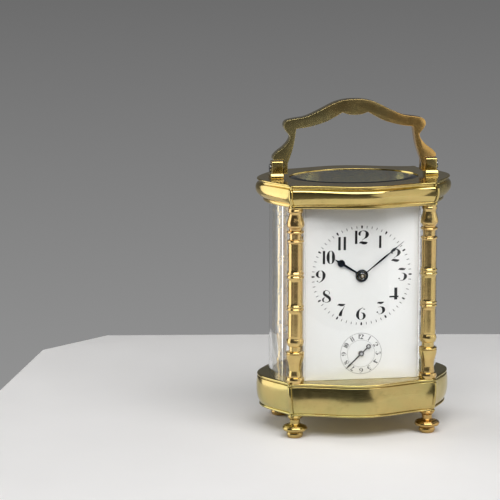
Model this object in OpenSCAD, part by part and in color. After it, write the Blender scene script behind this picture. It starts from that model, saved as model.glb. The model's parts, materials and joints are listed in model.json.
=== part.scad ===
// Carriage clock with alarm: bowed brass case on turned feet, folding handle, lever escapement.
// Millimetres. Origin on the floor under the middle of the case, front towards -Y, +Z up.

/* [Case] */
// Underside of the plinth above the floor
plinth_z0 = 10.4; // [10.3:0.1:10.5]
// Top of the plinth, where pillars and glasses stand
plinth_z1 = 25.8; // [25.7:0.1:25.9]
// Underside of the cornice
cornice_z0 = 107.2; // [107.1:0.1:107.3]
// Top of the cornice
cornice_z1 = 118; // [117.9:0.1:118.2]
// Half distance between pillar axes, left to right
pillar_x = 31.2; // [31.1:0.1:31.4]
// Half distance between pillar axes, front to back
pillar_y = 21.8; // [21.7:0.1:21.9]
// Half width of the case plan at its corners
corner_x = 34.5; // [34.2:0.1:34.8]
// Radius of the small rib on each corner of the mouldings
rib_r = 1.6; // [1.4:0.1:1.7]
// Thickness of the case glasses
glass_t = 1.4; // [1.2:0.1:1.4]

/* [Handle] */
// Height of the handle's pivot
pivot_z = 122.6; // [122.5:0.1:122.7]
// Depth of the handle bar, front to back
handle_depth = 5.8; // [5:0.1:6]
// Height of the top of the raised handle
handle_top = 154; // [152:0.5:156]

/* [Dial and hands] */
// Front face of the dial
dial_y = -20; // [-20.1:0.1:-20]
// Half width of the dial plate
dial_half = 27.3; // [27:0.1:27.4]
// Height of the main hands' centre
centre_z = 74.7; // [74.6:0.1:74.8]
// Height of the alarm hand's centre
alarm_z = 38; // [37.9:0.1:38.1]
// Length of the minute hand from its centre
minute_len = 25; // [22:0.5:25]
// Length of the hour hand from its centre
hour_len = 15.2; // [13:0.1:16]
// Length of the alarm hand from its centre
alarm_len = 10; // [8:0.5:10]

/* [Movement] */
// Outer (front) face of the front movement plate
front_plate_y = -13.5; // [-13.6:0.1:-13.5]
// Outer (rear) face of the back movement plate
back_plate_y = 11.5; // [11.4:0.1:11.6]
// Thickness of the two movement plates
plate_t = 2; // [1.8:0.1:2]
// Half width of the movement plates
plate_half = 24; // [23.8:0.1:24.2]
// Top edge of the movement plates, under the platform
plate_z1 = 88; // [88:0.1:88.1]
// Radial clearance of a running shaft in its hole
run = 0.05; // [0.03:0.01:0.08]

/* [Hidden] */
$fn = 48;

// Colours
brass = "#b8924a";
plate_brass = "#c9a55c";
steel = "#9a9ca0";
blued = "#20242f";
crystal = [0.75, 0.85, 0.88, 0.35];

// Plan of the mouldings
front_half = 33.2;
side_half = 24.2;
side_power = 1.3;
front_steps = 18;
side_steps = 14;

// Each station of a moulding is [z, half depth at the corners, half depth in the middle, half width]
plinth_stations = [
  [plinth_z0, 24.8, 34.5, 43.9], [plinth_z0 + 0.4, 25.1, 34.9, 44.3],
  [plinth_z0 + 1.2, 25.1, 34.9, 44.3], [plinth_z0 + 1.6, 24.5, 33.8, 43.6],
  [plinth_z0 + 1.8, 24.5, 32.9, 43.4], [13.5, 25.4, 33.45, 44.2], [15.2, 25.8, 33.6, 45.1],
  [17.5, 25.9, 33.53, 45.7], [20, 25.8, 33.3, 46], [22.2, 25.5, 32.95, 46], [23.2, 25.2, 32.75, 45.7],
  [23.6, 25.1, 32.7, 45], [24.2, 25.1, 32.7, 45], [24.4, 25.9, 33.4, 45.4],
  [plinth_z1 - 0.4, 25.9, 33.4, 45.4], [plinth_z1, 25.7, 33.2, 45.1]];
plinth_core = [24.1, 32.4, 43];
cornice_stations = [
  [cornice_z0, 25.3, 30.3, 42], [cornice_z0 + 0.4, 25.5, 30.6, 42.4], [108.6, 25.5, 30.6, 42.4],
  [109, 25.3, 30.4, 42.4], [109.6, 25.5, 31.9, 43.8], [110.5, 25.7, 32.7, 44.8],
  [111.8, 25.9, 33.3, 45.7], [113.2, 26, 33.55, 46], [114.4, 25.9, 33.45, 45.9],
  [115.3, 25.7, 33.1, 45.5], [115.9, 25.3, 32.4, 44.9], [116.6, 25.3, 32.2, 44.7],
  [cornice_z1 - 0.8, 25.8, 33.1, 45.3], [cornice_z1 - 0.2, 25.8, 33.2, 45.4], [cornice_z1, 25.5, 32.9, 45.1]];
cornice_core = [24.9, 29.9, 41.6];
// Hairline between each moulding and the plate inside it
core_gap = 0.03;

// Case interior
stud_r = 1.2;
cavity = [54, 35];
floor_size = [60, 37.2];
floor_t = 1.5;
plinth_ceiling = 23.3;
groove_depth = 0.7;
oval = [30.2, 22.2];
oval_z = 115.6;
oval_ledge = 1.8;
top_glass_t = 1.8;

// Bowed glass: the front and the door share one arc, the sides another
front_edge = [26.8, 22.9];
front_mid = 28.1;
front_sag = front_mid - front_edge[1];
front_r = (pow(front_edge[0], 2) + pow(front_sag, 2)) / (2 * front_sag);
side_edge = [31.9, 17.4];
side_mid = 39.5;
side_sag = side_mid - side_edge[0];
side_r = (pow(side_edge[1], 2) + pow(side_sag, 2)) / (2 * side_sag);

// Rear door
door_z0 = plinth_z1 + 0.4;
door_z1 = cornice_z0 - 0.4;
door_t = 1.8;
door_stile = 4;
door_rail = 4.5;
door_half = 26.2;
hinge = [25.2, 22.56];
hinge_r = 0.6;
knob = [-23.4, 66];
knob_turn_r = 0.8;

// Handle
leg_in = 31.6;
leg_out = 33.3;
bracket_in = 33.5;
bracket_out = 39;
bracket_half = 2.75;
screw_r = 1.1;
shoulder_z = 126.6;

// Movement levels, front to back
cannon_y = [-15.3, -13.9];
hour_wheel_y = [-17.1, -16.1];
minute_pinion_y = [-17.3, -15.5];
hour_hand_y = [-20.8, -20.5];
minute_hand_y = [-21.5, -21.2];
third_wheel_y = [-10.9, -10];
barrel_y = [-8.6, 3.4];
barrel_flange = 1.6;
centre_wheel_y = [5, 6];
contrate_y = [-4.2, -3.2];
crown_y = -1.9;
star_y = [5, 6];
ratchet_y = [back_plate_y + 0.5, back_plate_y + 1.7];
square_y1 = 17.5;
square_size = 2;
arbor_r = 0.9;
pivot_r = 0.5;

// Wheel work: modules and tooth counts
centre = [0, centre_z];
alarm_centre = [0, alarm_z];
cannon_teeth = 12;
minute_teeth = 36;
minute_pinion_teeth = 10;
hour_teeth = 40;
motion_distance = 12.5;
cannon_module = 2 * motion_distance / (cannon_teeth + minute_teeth);
hour_module = 2 * motion_distance / (minute_pinion_teeth + hour_teeth);
idler_teeth = 33;
idler_distance = (centre_z - alarm_z) / 2;
idler_module = 2 * idler_distance / (hour_teeth + idler_teeth);
barrel_teeth = 72;
centre_pinion_teeth = 10;
barrel_module = 0.42;
centre_teeth = 64;
third_pinion_teeth = 8;
centre_module = 0.38;
third_teeth = 60;
contrate_pinion_teeth = 8;
third_module = 0.36;
crown_teeth = 70;
crown_r = 9;
escape_pinion_teeth = 7;
escape_teeth = 15;
alarm_teeth = 48;
star_pinion_teeth = 8;
alarm_module = 0.36;
star_teeth = 13;

// Arbor places in [x, z]
barrel_dir = -115.9;
third_dir = -40;
contrate_dir = 76.5;
star_dir = -104;
barrel_pos = centre + mesh_distance(barrel_module, barrel_teeth, centre_pinion_teeth) * toward(barrel_dir);
third_pos = centre + mesh_distance(centre_module, centre_teeth, third_pinion_teeth) * toward(third_dir);
contrate_pos = third_pos + mesh_distance(third_module, third_teeth, contrate_pinion_teeth)
  * toward(contrate_dir);
minute_pos = centre + motion_distance * toward(180);
idler_pos = centre + idler_distance * toward(-90);
alarm_barrel_pos = [14.5, 45];
star_pos = alarm_barrel_pos + mesh_distance(alarm_module, alarm_teeth, star_pinion_teeth)
  * toward(star_dir);
hammer_pos = [13, 29.4];

// Tooth phases, each worked out from the wheel that it meets
barrel_phase = mesh_phase(centre_pinion_teeth, 0, barrel_dir, barrel_teeth);
third_pinion_phase = mesh_phase(centre_teeth, 0, third_dir, third_pinion_teeth);
contrate_pinion_phase = mesh_phase(third_teeth, 0, contrate_dir, contrate_pinion_teeth);
minute_phase = mesh_phase(cannon_teeth, 0, 180, minute_teeth);
hour_phase = mesh_phase(minute_pinion_teeth, 0, 0, hour_teeth);
idler_phase = mesh_phase(hour_teeth, hour_phase, -90, idler_teeth);
alarm_phase = mesh_phase(idler_teeth, idler_phase, -90, hour_teeth);
star_pinion_phase = mesh_phase(alarm_teeth, 0, star_dir, star_pinion_teeth);

// Platform escapement
platform_z = plate_z1;
platform_t = 1.6;
platform_top = platform_z + platform_t;
escape_pinion_r = 0.9;
leaf_half = 0.09;
staff_y = crown_y - 0.2 + escape_pinion_r;
escape_xy = [contrate_pos[0], staff_y];
lever_xy = [8, staff_y];
balance_xy = [0, staff_y];
escape_z = [90.6, 91];
lever_z = [90.6, 91.4];
bridge_z = [92.5, 93.2];
balance_z = [94, 95.1];
balance_r = 8.2;
spring_z = [95.4, 95.8];
cock_z = [96.4, 97.8];
index_z = [97.85, 98.25];

// Bell in the plinth
bell_pos = [-4, 3];
bell_r = 14;
bell_z = [14, 22];
bell_wall = 0.9;

function toward(angle) = [cos(angle), sin(angle)];
function mesh_distance(mod, a, b) = mod * (a + b) / 2;
function fraction(v) = v - floor(v);
// Turn of gear b whose centre lies in direction dir from gear a, so that a tooth meets a gap
function mesh_phase(a_teeth, a_phase, dir, b_teeth) =
  dir + 180 - (0.5 - fraction((dir - a_phase) * a_teeth / 360)) * 360 / b_teeth;
// A turned bead between two heights
function bead(z0, z1, r0, r1) = [for (i = [0:6]) [r0 + (r1 - r0) * sin(30 * i), z0 + (z1 - z0) * i / 6]];
// An eased stretch between two radii
function ease(z0, z1, r0, r1) =
  [for (i = [0:5]) [r0 + (r1 - r0) * (1 - cos(36 * i)) / 2, z0 + (z1 - z0) * i / 5]];
// A smooth open curve through hand-chosen points
function spline(p, n = 5) = concat([for (i = [0:len(p) - 2], j = [0:n - 1])
  let (a = p[max(i - 1, 0)], b = p[i], c = p[i + 1], d = p[min(i + 2, len(p) - 1)], t = j / n)
  0.5 * (2 * b + (c - a) * t + (2 * a - 5 * b + 4 * c - d) * t * t + (3 * b - a - 3 * c + d) * t * t * t)],
  [p[len(p) - 1]]);

// Plan of a moulding: serpentine front and back, bowed sides, a small rib on each corner
function plan_half(corner_y, mid_y, side_x) =
  let (cx = corner_x + corner_y - 26)
  concat(
    [for (i = [0:front_steps]) let (t = 2 * i / front_steps - 1)
      [t * front_half * cx / corner_x, -corner_y - (mid_y - corner_y) * (1 + cos(180 * t)) / 2]],
    [for (a = [-70, -45, -20]) [cx - 0.9 + rib_r * cos(a), 0.9 - corner_y + rib_r * sin(a)]],
    [for (i = [0:side_steps]) let (t = 2 * i / side_steps - 1)
      [cx + (side_x - cx) * pow(max(0, cos(90 * t)), side_power), t * side_half * corner_y / 26]],
    [for (a = [20, 45, 70]) [cx - 0.9 + rib_r * cos(a), corner_y - 0.9 + rib_r * sin(a)]]);
function plan(corner_y, mid_y, side_x) =
  let (half = plan_half(corner_y, mid_y, side_x)) concat(half, [for (p = half) -p]);

// Moulded rim around a core: a closed band of rings, up the outside and down the inside
module moulding(stations, core) {
  inner = core + [core_gap, core_gap, core_gap];
  last = len(stations) - 1;
  band = concat(stations, [concat([stations[last][0]], inner), concat([stations[0][0]], inner)]);
  n = len(plan(core[0], core[1], core[2]));
  levels = len(band);
  polyhedron(
    points = [for (s = band) for (p = plan(s[1], s[2], s[3])) [p[0], p[1], s[0]]],
    faces = [for (k = [0:levels - 1], i = [0:n - 1])
      let (up = (k + 1) % levels, next = (i + 1) % n)
        [k * n + i, up * n + i, up * n + next, k * n + next]]);
}
module core_blank(core, z0, z1) {
  translate([0, 0, z0]) linear_extrude(z1 - z0) polygon(plan(core[0], core[1], core[2]));
}

module at_corners() {
  for (sx = [-1, 1], sy = [-1, 1]) translate([sx * pillar_x, sy * pillar_y]) children();
}
module box(x0, x1, y0, y1, z0, z1) {
  translate([x0, y0, z0]) cube([x1 - x0, y1 - y0, z1 - z0]);
}
// A flat shape in X and Z, given thickness from y0 to y1
module along_y(pos, y0, y1) {
  translate([pos[0], y1, pos[1]]) rotate([90, 0, 0]) linear_extrude(y1 - y0) children();
}
module rod_y(pos, y0, y1, r) {
  along_y(pos, y0, y1) circle(r);
}
module rod_z(pos, z0, z1, r) {
  translate([pos[0], pos[1], z0]) cylinder(h = z1 - z0, r = r);
}
module ring_y(pos, y0, y1, r, hole) {
  along_y(pos, y0, y1) difference() {
    circle(r);
    circle(hole);
  }
}
module gear(mod, teeth, phase) {
  pitch_r = mod * teeth / 2;
  polygon([for (i = [0:teeth - 1], k = [0:3])
    let (root = k == 0 || k == 3, side = k < 2 ? -1 : 1,
      r = root ? pitch_r - 1.15 * mod : pitch_r + 0.8 * mod,
      a = phase + (i + side * (root ? 0.28 : 0.1)) * 360 / teeth)
    r * toward(a)]);
}
// A wheel's rim and spokes cut from its toothed blank
module crossed_gear(mod, teeth, phase, rim, hub, spokes, spoke_w) {
  difference() {
    gear(mod, teeth, phase);
    circle(rim);
  }
  circle(hub);
  for (i = [0:spokes - 1])
    rotate(i * 360 / spokes) translate([0, -spoke_w / 2]) square([rim + 0.1, spoke_w]);
}
module ratchet(r, teeth, depth) {
  polygon([for (i = [0:teeth - 1], k = [0:1])
    (k == 0 ? r : r - depth) * toward(360 * (i + 0.9 * k) / teeth)]);
}
// Bowed sheet whose outer face passes through [0, mid]; end is half its angle
module bowed(r, mid, end, t, z0, z1) {
  translate([0, mid - r, z0]) rotate([0, 0, 90 - end]) rotate_extrude(angle = 2 * end, $fn = 180)
    translate([r - t, 0]) square([t, z1 - z0]);
}
module front_sheet(t, z0, z1, spare = 0) {
  mirror([0, 1, 0]) bowed(front_r + spare, front_mid + spare, asin(front_edge[0] / front_r) + spare,
    t + 2 * spare, z0, z1);
}
module side_sheet(t, z0, z1, spare = 0) {
  rotate([0, 0, -90]) bowed(side_r + spare, side_mid + spare, asin(side_edge[1] / side_r) + 2 * spare,
    t + 2 * spare, z0, z1);
}
module glass_grooves(z0, z1) {
  front_sheet(glass_t, z0, z1, 0.05);
  for (m = [0, 1]) mirror([m, 0, 0]) side_sheet(glass_t, z0, z1, 0.05);
}
module oval_hole(grow, z0, z1) {
  translate([0, 0, z0]) linear_extrude(z1 - z0)
    polygon([for (a = [0:5:355]) [(oval[0] + grow) * cos(a), (oval[1] + grow) * sin(a)]]);
}

// ---- Case ----
module base_plinth() {
  color(brass) moulding(plinth_stations, plinth_core);
  color(brass) difference() {
    core_blank(plinth_core, plinth_z0, plinth_z1);
    box(-cavity[0] / 2, cavity[0] / 2, -cavity[1] / 2, cavity[1] / 2, 0, plinth_ceiling);
    box(-floor_size[0] / 2, floor_size[0] / 2, -floor_size[1] / 2, floor_size[1] / 2,
      0, plinth_z0 + floor_t);
    at_corners() cylinder(h = plinth_z1 + 1, r = stud_r + run);
    glass_grooves(plinth_z1 - groove_depth, plinth_z1 + 1);
    box(hammer_pos[0] - 1.8, hammer_pos[0] + 1.8, star_y[0] - 1.2, star_y[1] + 1.2,
      plinth_ceiling - 1, plinth_z1 + 1);
    rod_z(hinge, plinth_z1 - 1.8, plinth_z1 + 1, hinge_r);
  }
}
module floor_plate() {
  screw_holes = [floor_size[0] / 2 - 2, 0];
  color(brass) difference() {
    box(-floor_size[0] / 2 + 0.1, floor_size[0] / 2 - 0.1, -floor_size[1] / 2 + 0.1,
      floor_size[1] / 2 - 0.1, plinth_z0, plinth_z0 + floor_t);
    for (s = [-1, 1]) rod_z(s * screw_holes, plinth_z0 - 1, plinth_z0 + floor_t + 1, 0.8);
    rod_z(bell_pos, plinth_z0 - 1, plinth_z0 + floor_t + 1, 0.8);
  }
}
module foot(sx, sy) {
  profile = concat([[0, 0], [3.3, 0]], bead(0.2, 2.9, 3.3, 3.8), [[3, 3.1]],
    bead(3.3, 5.8, 5.2, 6.2), [[3, 6]], ease(6.1, 8, 2.5, 2.3), bead(8.4, plinth_z0 - 0.3, 2.6, 3.2),
    [[3, plinth_z0], [stud_r, plinth_z0], [stud_r, plinth_z1 + 6], [0, plinth_z1 + 6]]);
  color(brass) translate([sx * pillar_x, sy * pillar_y]) rotate_extrude() polygon(profile);
}
module pillar(sx, sy) {
  z0 = plinth_z1;
  profile = concat(
    [[stud_r + run, z0], [3.9, z0]], bead(z0 + 0.1, 28.4, 3.9, 4.25), [[3.2, 28.6]],
    ease(28.8, 31.8, 3.2, 2.9), ease(32, 39.4, 2.95, 4.2), bead(39.5, 40.4, 4, 4.2), [[3.2, 40.6]],
    ease(40.8, 42.9, 2.8, 2.8), bead(43.1, 46.8, 3.4, 3.95), ease(47, 59.3, 3.45, 3.35),
    bead(59.5, 60.85, 3.5, 3.95), bead(60.95, 62.3, 3.5, 3.95), ease(62.5, 74.2, 3.4, 3.4),
    bead(74.4, 76, 3.5, 3.95), bead(76.1, 77.7, 3.5, 3.95), ease(77.9, 91, 3.35, 3.4),
    bead(91.2, 92.6, 3.4, 3.9), [[2.9, 92.8]], ease(93, 95.5, 2.8, 2.9), bead(95.7, 96.8, 3.6, 3.95),
    [[3, 97]], ease(97.3, 99.4, 3.1, 4.1), ease(99.6, 104.6, 4.1, 3), bead(104.9, 106.7, 3.2, 3.5),
    [[3.3, cornice_z0], [stud_r, cornice_z0], [stud_r, cornice_z0 + 4.5], [0, cornice_z0 + 4.5],
    [0, z0 + 7], [stud_r + run, z0 + 7]]);
  color(brass) translate([sx * pillar_x, sy * pillar_y]) rotate_extrude() polygon(profile);
}
module cornice() {
  color(brass) moulding(cornice_stations, cornice_core);
  color(brass) difference() {
    core_blank(cornice_core, cornice_z0, cornice_z1);
    oval_hole(0.1, oval_z, cornice_z1 + 1);
    oval_hole(-oval_ledge, cornice_z0 - 1, cornice_z1);
    at_corners() translate([0, 0, cornice_z0 - 1]) cylinder(h = 6, r = stud_r + run);
    glass_grooves(cornice_z0 - 1, cornice_z0 + groove_depth);
    rod_z(hinge, cornice_z0 - 1, cornice_z0 + 1.8, hinge_r);
    for (s = [-1, 1])
      rod_z([s * (bracket_in + bracket_out) / 2, 0], cornice_z1 - 4, cornice_z1 + 1, 1 + run);
  }
}
module top_glass() {
  color(crystal) oval_hole(0, oval_z, oval_z + top_glass_t);
}
module front_glass() {
  color(crystal) front_sheet(glass_t, plinth_z1 - groove_depth + 0.1, cornice_z0 + groove_depth - 0.1);
}
module side_glass(side) {
  color(crystal) mirror([side < 0 ? 1 : 0, 0, 0])
    side_sheet(glass_t, plinth_z1 - groove_depth + 0.1, cornice_z0 + groove_depth - 0.1);
}

// ---- Rear door ----
module door_shell(half, z0, z1, set_in, t) {
  bowed(front_r - set_in, front_mid - set_in, asin(half / front_r), t, z0, z1);
}
module door_frame() {
  color(brass) difference() {
    door_shell(door_half, door_z0, door_z1, 0, door_t);
    door_shell(door_half - door_stile, door_z0 + door_rail, door_z1 - door_rail, -2, door_t + 4);
    rod_z(hinge, door_z0 - 1, door_z1 + 1, hinge_r + run);
    rod_y(knob, 10, 30, knob_turn_r + run);
  }
}
module door_glass() {
  color(crystal) door_shell(door_half - door_stile - 0.05, door_z0 + door_rail + 0.05,
    door_z1 - door_rail - 0.05, 0.2, door_t - 0.4);
}
module door_pins() {
  color(steel) {
    rod_z(hinge, plinth_z1 - 1.8, door_z0 + 4, hinge_r);
    rod_z(hinge, door_z1 - 4, cornice_z0 + 1.8, hinge_r);
  }
}
// The knob's tongue hangs down when it is free, and turns to -X to catch behind the pillar
module door_knob() {
  y_in = 18.6;
  tongue_len = 4;
  color(brass) {
    translate([knob[0], 26.6, knob[1]]) rotate([-90, 0, 0]) rotate_extrude()
      polygon(concat([[0, -2], [1.2, -2], [1.2, -1.2]], bead(-1, 2.4, 1.4, 2.3), [[0, 2.6]]));
    rod_y(knob, y_in - 0.6, 26, knob_turn_r);
    along_y(knob, y_in - 1, y_in) {
      circle(1.4);
      translate([0, -tongue_len]) circle(0.9);
      polygon([[-0.88, -tongue_len], [0.88, -tongue_len], [1.3, 0], [-1.3, 0]]);
    }
  }
}

// ---- Handle ----
// Outline of the right half: outside from the shoulder up to the top, inside back down to the eye
module handle_outline() {
  outside = spline([[38.3, shoulder_z], [38.1, 128.2], [36.3, 130.2], [33.4, 132.4], [31, 135.2],
    [30.5, 137.4], [32.3, 139.8], [33.3, 142.1], [32.2, 144.4], [28.4, 145.4], [23.2, 146.2],
    [17.4, 148.6], [9.4, 152.5], [4, handle_top - 0.2], [0, handle_top]]);
  cusp_to_middle = spline([[6, 148.1], [3.2, 147.1], [0, 146.8]], 3);
  arch_to_cusp = spline([[27.6, 140.9], [21, 141.8], [14, 143.8], [9.4, 146.1], [6, 148.1]], 4);
  leg = spline([[leg_in, pivot_z + 2.2], [30.4, 128], [28.9, 133], [27.6, 140.9]], 4);
  eye = [[leg_out, shoulder_z], [leg_out, pivot_z - 2.5], [leg_in, pivot_z - 2.5]];
  right = concat([for (i = [len(cusp_to_middle) - 1:-1:0]) cusp_to_middle[i]],
    [for (i = [len(arch_to_cusp) - 2:-1:0]) arch_to_cusp[i]],
    [for (i = [len(leg) - 2:-1:0]) leg[i]], [eye[2], eye[1], eye[0]], outside);
  polygon(concat(right, [for (i = [len(right) - 2:-1:1]) [-right[i][0], right[i][1]]]));
}
module handle() {
  color(brass) difference() {
    along_y([0, 0], -handle_depth / 2, handle_depth / 2) handle_outline();
    for (s = [-1, 1]) translate([s * (leg_in + leg_out) / 2, 0, pivot_z]) rotate([0, 90, 0])
      cylinder(h = 6, r = screw_r + run, center = true);
  }
}
module handle_bracket(side) {
  top_z = pivot_z + 0.6;
  color(brass) mirror([side < 0 ? 1 : 0, 0, 0]) {
    difference() {
      union() {
        box(bracket_in, bracket_out, -bracket_half, bracket_half, cornice_z1, top_z);
        translate([bracket_in, 0, top_z]) rotate([0, 90, 0])
          cylinder(h = bracket_out - bracket_in, r = bracket_half);
        box(bracket_in, bracket_out + 0.6, -bracket_half - 0.9, bracket_half + 0.9,
          cornice_z1, cornice_z1 + 1.1);
      }
      translate([bracket_in - 1, 0, pivot_z]) rotate([0, 90, 0]) cylinder(h = 10, r = screw_r);
    }
    rod_z([(bracket_in + bracket_out) / 2, 0], cornice_z1 - 3.6, cornice_z1 + 0.5, 1);
  }
}
module handle_screws() {
  color(steel) for (m = [0, 1]) mirror([m, 0, 0]) difference() {
    union() {
      translate([leg_in - 0.1, 0, pivot_z]) rotate([0, 90, 0])
        cylinder(h = bracket_out - leg_in + 0.1, r = screw_r);
      translate([bracket_out, 0, pivot_z]) rotate([0, 90, 0]) cylinder(h = 0.8, r = 1.9);
    }
    box(bracket_out + 0.4, bracket_out + 2, -3, 3, pivot_z - 0.2, pivot_z + 0.2);
  }
}

// ---- Dial and hands ----
module dial() {
  feet = [[-20, 33], [20, 33], [-20, 85], [20, 85]];
  color("#f4f2ec") difference() {
    box(-dial_half, dial_half, dial_y, dial_y + 1, plinth_z1 + 0.3, cornice_z0 - 0.3);
    rod_y(centre, dial_y - 1, dial_y + 2, 2.7);
    rod_y(alarm_centre, dial_y - 1, dial_y + 2, 1.3);
  }
  color(brass) for (p = feet) {
    rod_y(p, dial_y + 0.9, front_plate_y - 0.02, 1);
    rod_y(p, front_plate_y - 0.1, front_plate_y + plate_t, 0.5);
  }
}
// Flat hands, drawn pointing up
module minute_hand() {
  color(blued) along_y(centre, minute_hand_y[0], minute_hand_y[1]) rotate(-50) difference() {
    union() {
      circle(2.2);
      polygon([[-0.3, 0], [0.3, 0], [0.42, 13], [0.38, 18], [0.85, 19.6], [0.35, 21.2], [0.08, minute_len],
        [-0.08, minute_len], [-0.35, 21.2], [-0.85, 19.6], [-0.38, 18], [-0.42, 13]]);
    }
    circle(0.75);
  }
}
module hour_hand() {
  color(blued) along_y(centre, hour_hand_y[0], hour_hand_y[1]) rotate(57) difference() {
    union() {
      circle(2.9);
      polygon([[-0.45, 0], [0.45, 0], [0.55, 10], [-0.55, 10]]);
      translate([0, 11.3]) circle(1.7);
      polygon([[-0.9, 12.6], [0.9, 12.6], [0.35, 13.6], [0.08, hour_len],
        [-0.08, hour_len], [-0.35, 13.6]]);
    }
    circle(2.3 + run);
  }
}
module alarm_hand() {
  color(steel) along_y(alarm_centre, hour_hand_y[0], hour_hand_y[1]) rotate(-229) difference() {
    union() {
      circle(1.3);
      polygon([[-0.35, 0], [0.35, 0], [0.3, 6.5], [0.55, 7.6], [0.07, alarm_len], [-0.07, alarm_len],
        [-0.55, 7.6], [-0.3, 6.5]]);
      polygon([[-0.25, -3.9], [0.25, -3.9], [0.25, 0], [-0.25, 0]]);
      translate([0, -4.75]) circle(1.05);
    }
    circle(0.7);
    translate([0, -4.75]) circle(0.55);
  }
}

// ---- Plates ----
inner_y = [front_plate_y + plate_t, back_plate_y - plate_t];
plate_posts = [[-20.5, 30.5], [21.3, 30.5], [-20.5, 84], [21.8, 57]];
module plate_blank(y0, y1) {
  box(-plate_half, plate_half, y0, y1, plinth_z1, plate_z1);
}
module pivot_hole(pos, r) {
  rod_y(pos, -30, 30, r + run);
}
module front_plate() {
  color(plate_brass) difference() {
    plate_blank(front_plate_y, inner_y[0]);
    pivot_hole(centre, arbor_r);
    for (p = [barrel_pos, alarm_barrel_pos]) pivot_hole(p, 1);
    for (p = [third_pos, contrate_pos, star_pos, hammer_pos]) pivot_hole(p, pivot_r);
    pivot_hole(alarm_centre, 0.7);
    for (p = [[-20, 33], [20, 33], [-20, 85], [20, 85]]) pivot_hole(p, 0.5);
  }
  color(steel) {
    rod_y(minute_pos, -17.6, front_plate_y + 0.2, 0.7);
    rod_y(idler_pos, -17.6, front_plate_y + 0.2, 0.7);
  }
}
module back_plate() {
  color(plate_brass) difference() {
    plate_blank(inner_y[1], back_plate_y);
    pivot_hole(centre, arbor_r);
    for (p = [barrel_pos, alarm_barrel_pos]) pivot_hole(p, 1.5);
    for (p = [third_pos, contrate_pos, star_pos, hammer_pos]) pivot_hole(p, pivot_r);
    pivot_hole(alarm_centre, 0.7);
  }
}
module plate_pillars() {
  color(plate_brass) for (p = plate_posts) rod_y(p, inner_y[0], inner_y[1], 1.8);
}
module plate_screws() {
  color(steel) for (p = plate_posts) difference() {
    rod_y(p, back_plate_y, back_plate_y + 0.9, 1.7);
    box(p[0] - 2, p[0] + 2, back_plate_y + 0.5, back_plate_y + 2, p[1] - 0.2, p[1] + 0.2);
  }
}

// ---- Going train ----
module center_wheel() {
  color(steel) {
    rod_y(centre, -22, back_plate_y + 0.4, arbor_r - 0.15);
    rod_y(centre, inner_y[0] + 0.3, inner_y[1] - 0.3, arbor_r);
    along_y(centre, back_plate_y + 0.3, square_y1 - 2) square(1.4, center = true);
    along_y(centre, barrel_y[0] - 0.5, barrel_y[0] + barrel_flange + 0.6)
      gear(barrel_module, centre_pinion_teeth, 0);
  }
  color(plate_brass) along_y(centre, centre_wheel_y[0], centre_wheel_y[1])
    crossed_gear(centre_module, centre_teeth, 0, 10.2, 2.6, 4, 1.3);
}
module third_wheel() {
  color(steel) {
    rod_y(third_pos, front_plate_y + 0.3, back_plate_y - 0.3, pivot_r);
    rod_y(third_pos, inner_y[0] + 0.2, inner_y[1] - 0.2, 0.75);
    along_y(third_pos, centre_wheel_y[0] - 0.6, centre_wheel_y[1] + 0.6)
      gear(centre_module, third_pinion_teeth, third_pinion_phase);
  }
  color(plate_brass) along_y(third_pos, third_wheel_y[0], third_wheel_y[1])
    crossed_gear(third_module, third_teeth, 0, 9, 2.2, 4, 1.2);
}
module contrate_wheel() {
  crown_out = crown_r + 0.3;
  crown_in = crown_r - 0.5;
  color(steel) {
    rod_y(contrate_pos, front_plate_y + 0.3, back_plate_y - 0.3, pivot_r);
    rod_y(contrate_pos, inner_y[0] + 0.2, inner_y[1] - 0.2, 0.7);
    along_y(contrate_pos, third_wheel_y[0] - 0.3, third_wheel_y[1] + 0.5)
      gear(third_module, contrate_pinion_teeth, contrate_pinion_phase);
  }
  color(plate_brass) {
    along_y(contrate_pos, contrate_y[0], contrate_y[1]) {
      difference() {
        circle(crown_out);
        circle(7.4);
      }
      circle(2);
      for (a = [0:90:270]) rotate(a) translate([0, -0.6]) square([7.5, 1.2]);
    }
    along_y(contrate_pos, contrate_y[1] - 0.1, crown_y) difference() {
      polygon([for (i = [0:crown_teeth - 1], k = [0:3])
        (k == 0 || k == 3 ? crown_in - 0.3 : crown_out - 0.1)
          * toward(90 + (i + (k < 2 ? -0.15 : 0.15)) * 360 / crown_teeth)]);
      circle(crown_in);
    }
  }
}
module escape_wheel() {
  pinion_z = [contrate_pos[1] + crown_r - 1.1, platform_z - 0.3];
  color(steel) {
    rod_z(escape_xy, pinion_z[0] - 1.6, bridge_z[1], 0.3);
    translate([escape_xy[0], escape_xy[1], pinion_z[0]]) linear_extrude(pinion_z[1] - pinion_z[0]) {
      circle(0.5);
      for (i = [0:escape_pinion_teeth - 1]) rotate(90 + i * 360 / escape_pinion_teeth)
        translate([0, -leaf_half]) square([escape_pinion_r + 0.22, 2 * leaf_half]);
    }
    rod_z(escape_xy, escape_z[0] - 0.5, escape_z[1] + 0.5, 0.7);
  }
  color(plate_brass) translate([escape_xy[0], escape_xy[1], escape_z[0]])
    linear_extrude(escape_z[1] - escape_z[0]) {
    difference() {
      circle(3.1);
      circle(2.5);
    }
    circle(0.9);
    for (a = [0:90:270]) rotate(a) translate([0, -0.22]) square([2.6, 0.44]);
    for (i = [0:escape_teeth - 1]) rotate(i * 360 / escape_teeth)
      polygon([[2.9, -0.45], [3.9, -0.1], [3.7, 0.35], [2.9, 0.3]]);
  }
}

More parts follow.
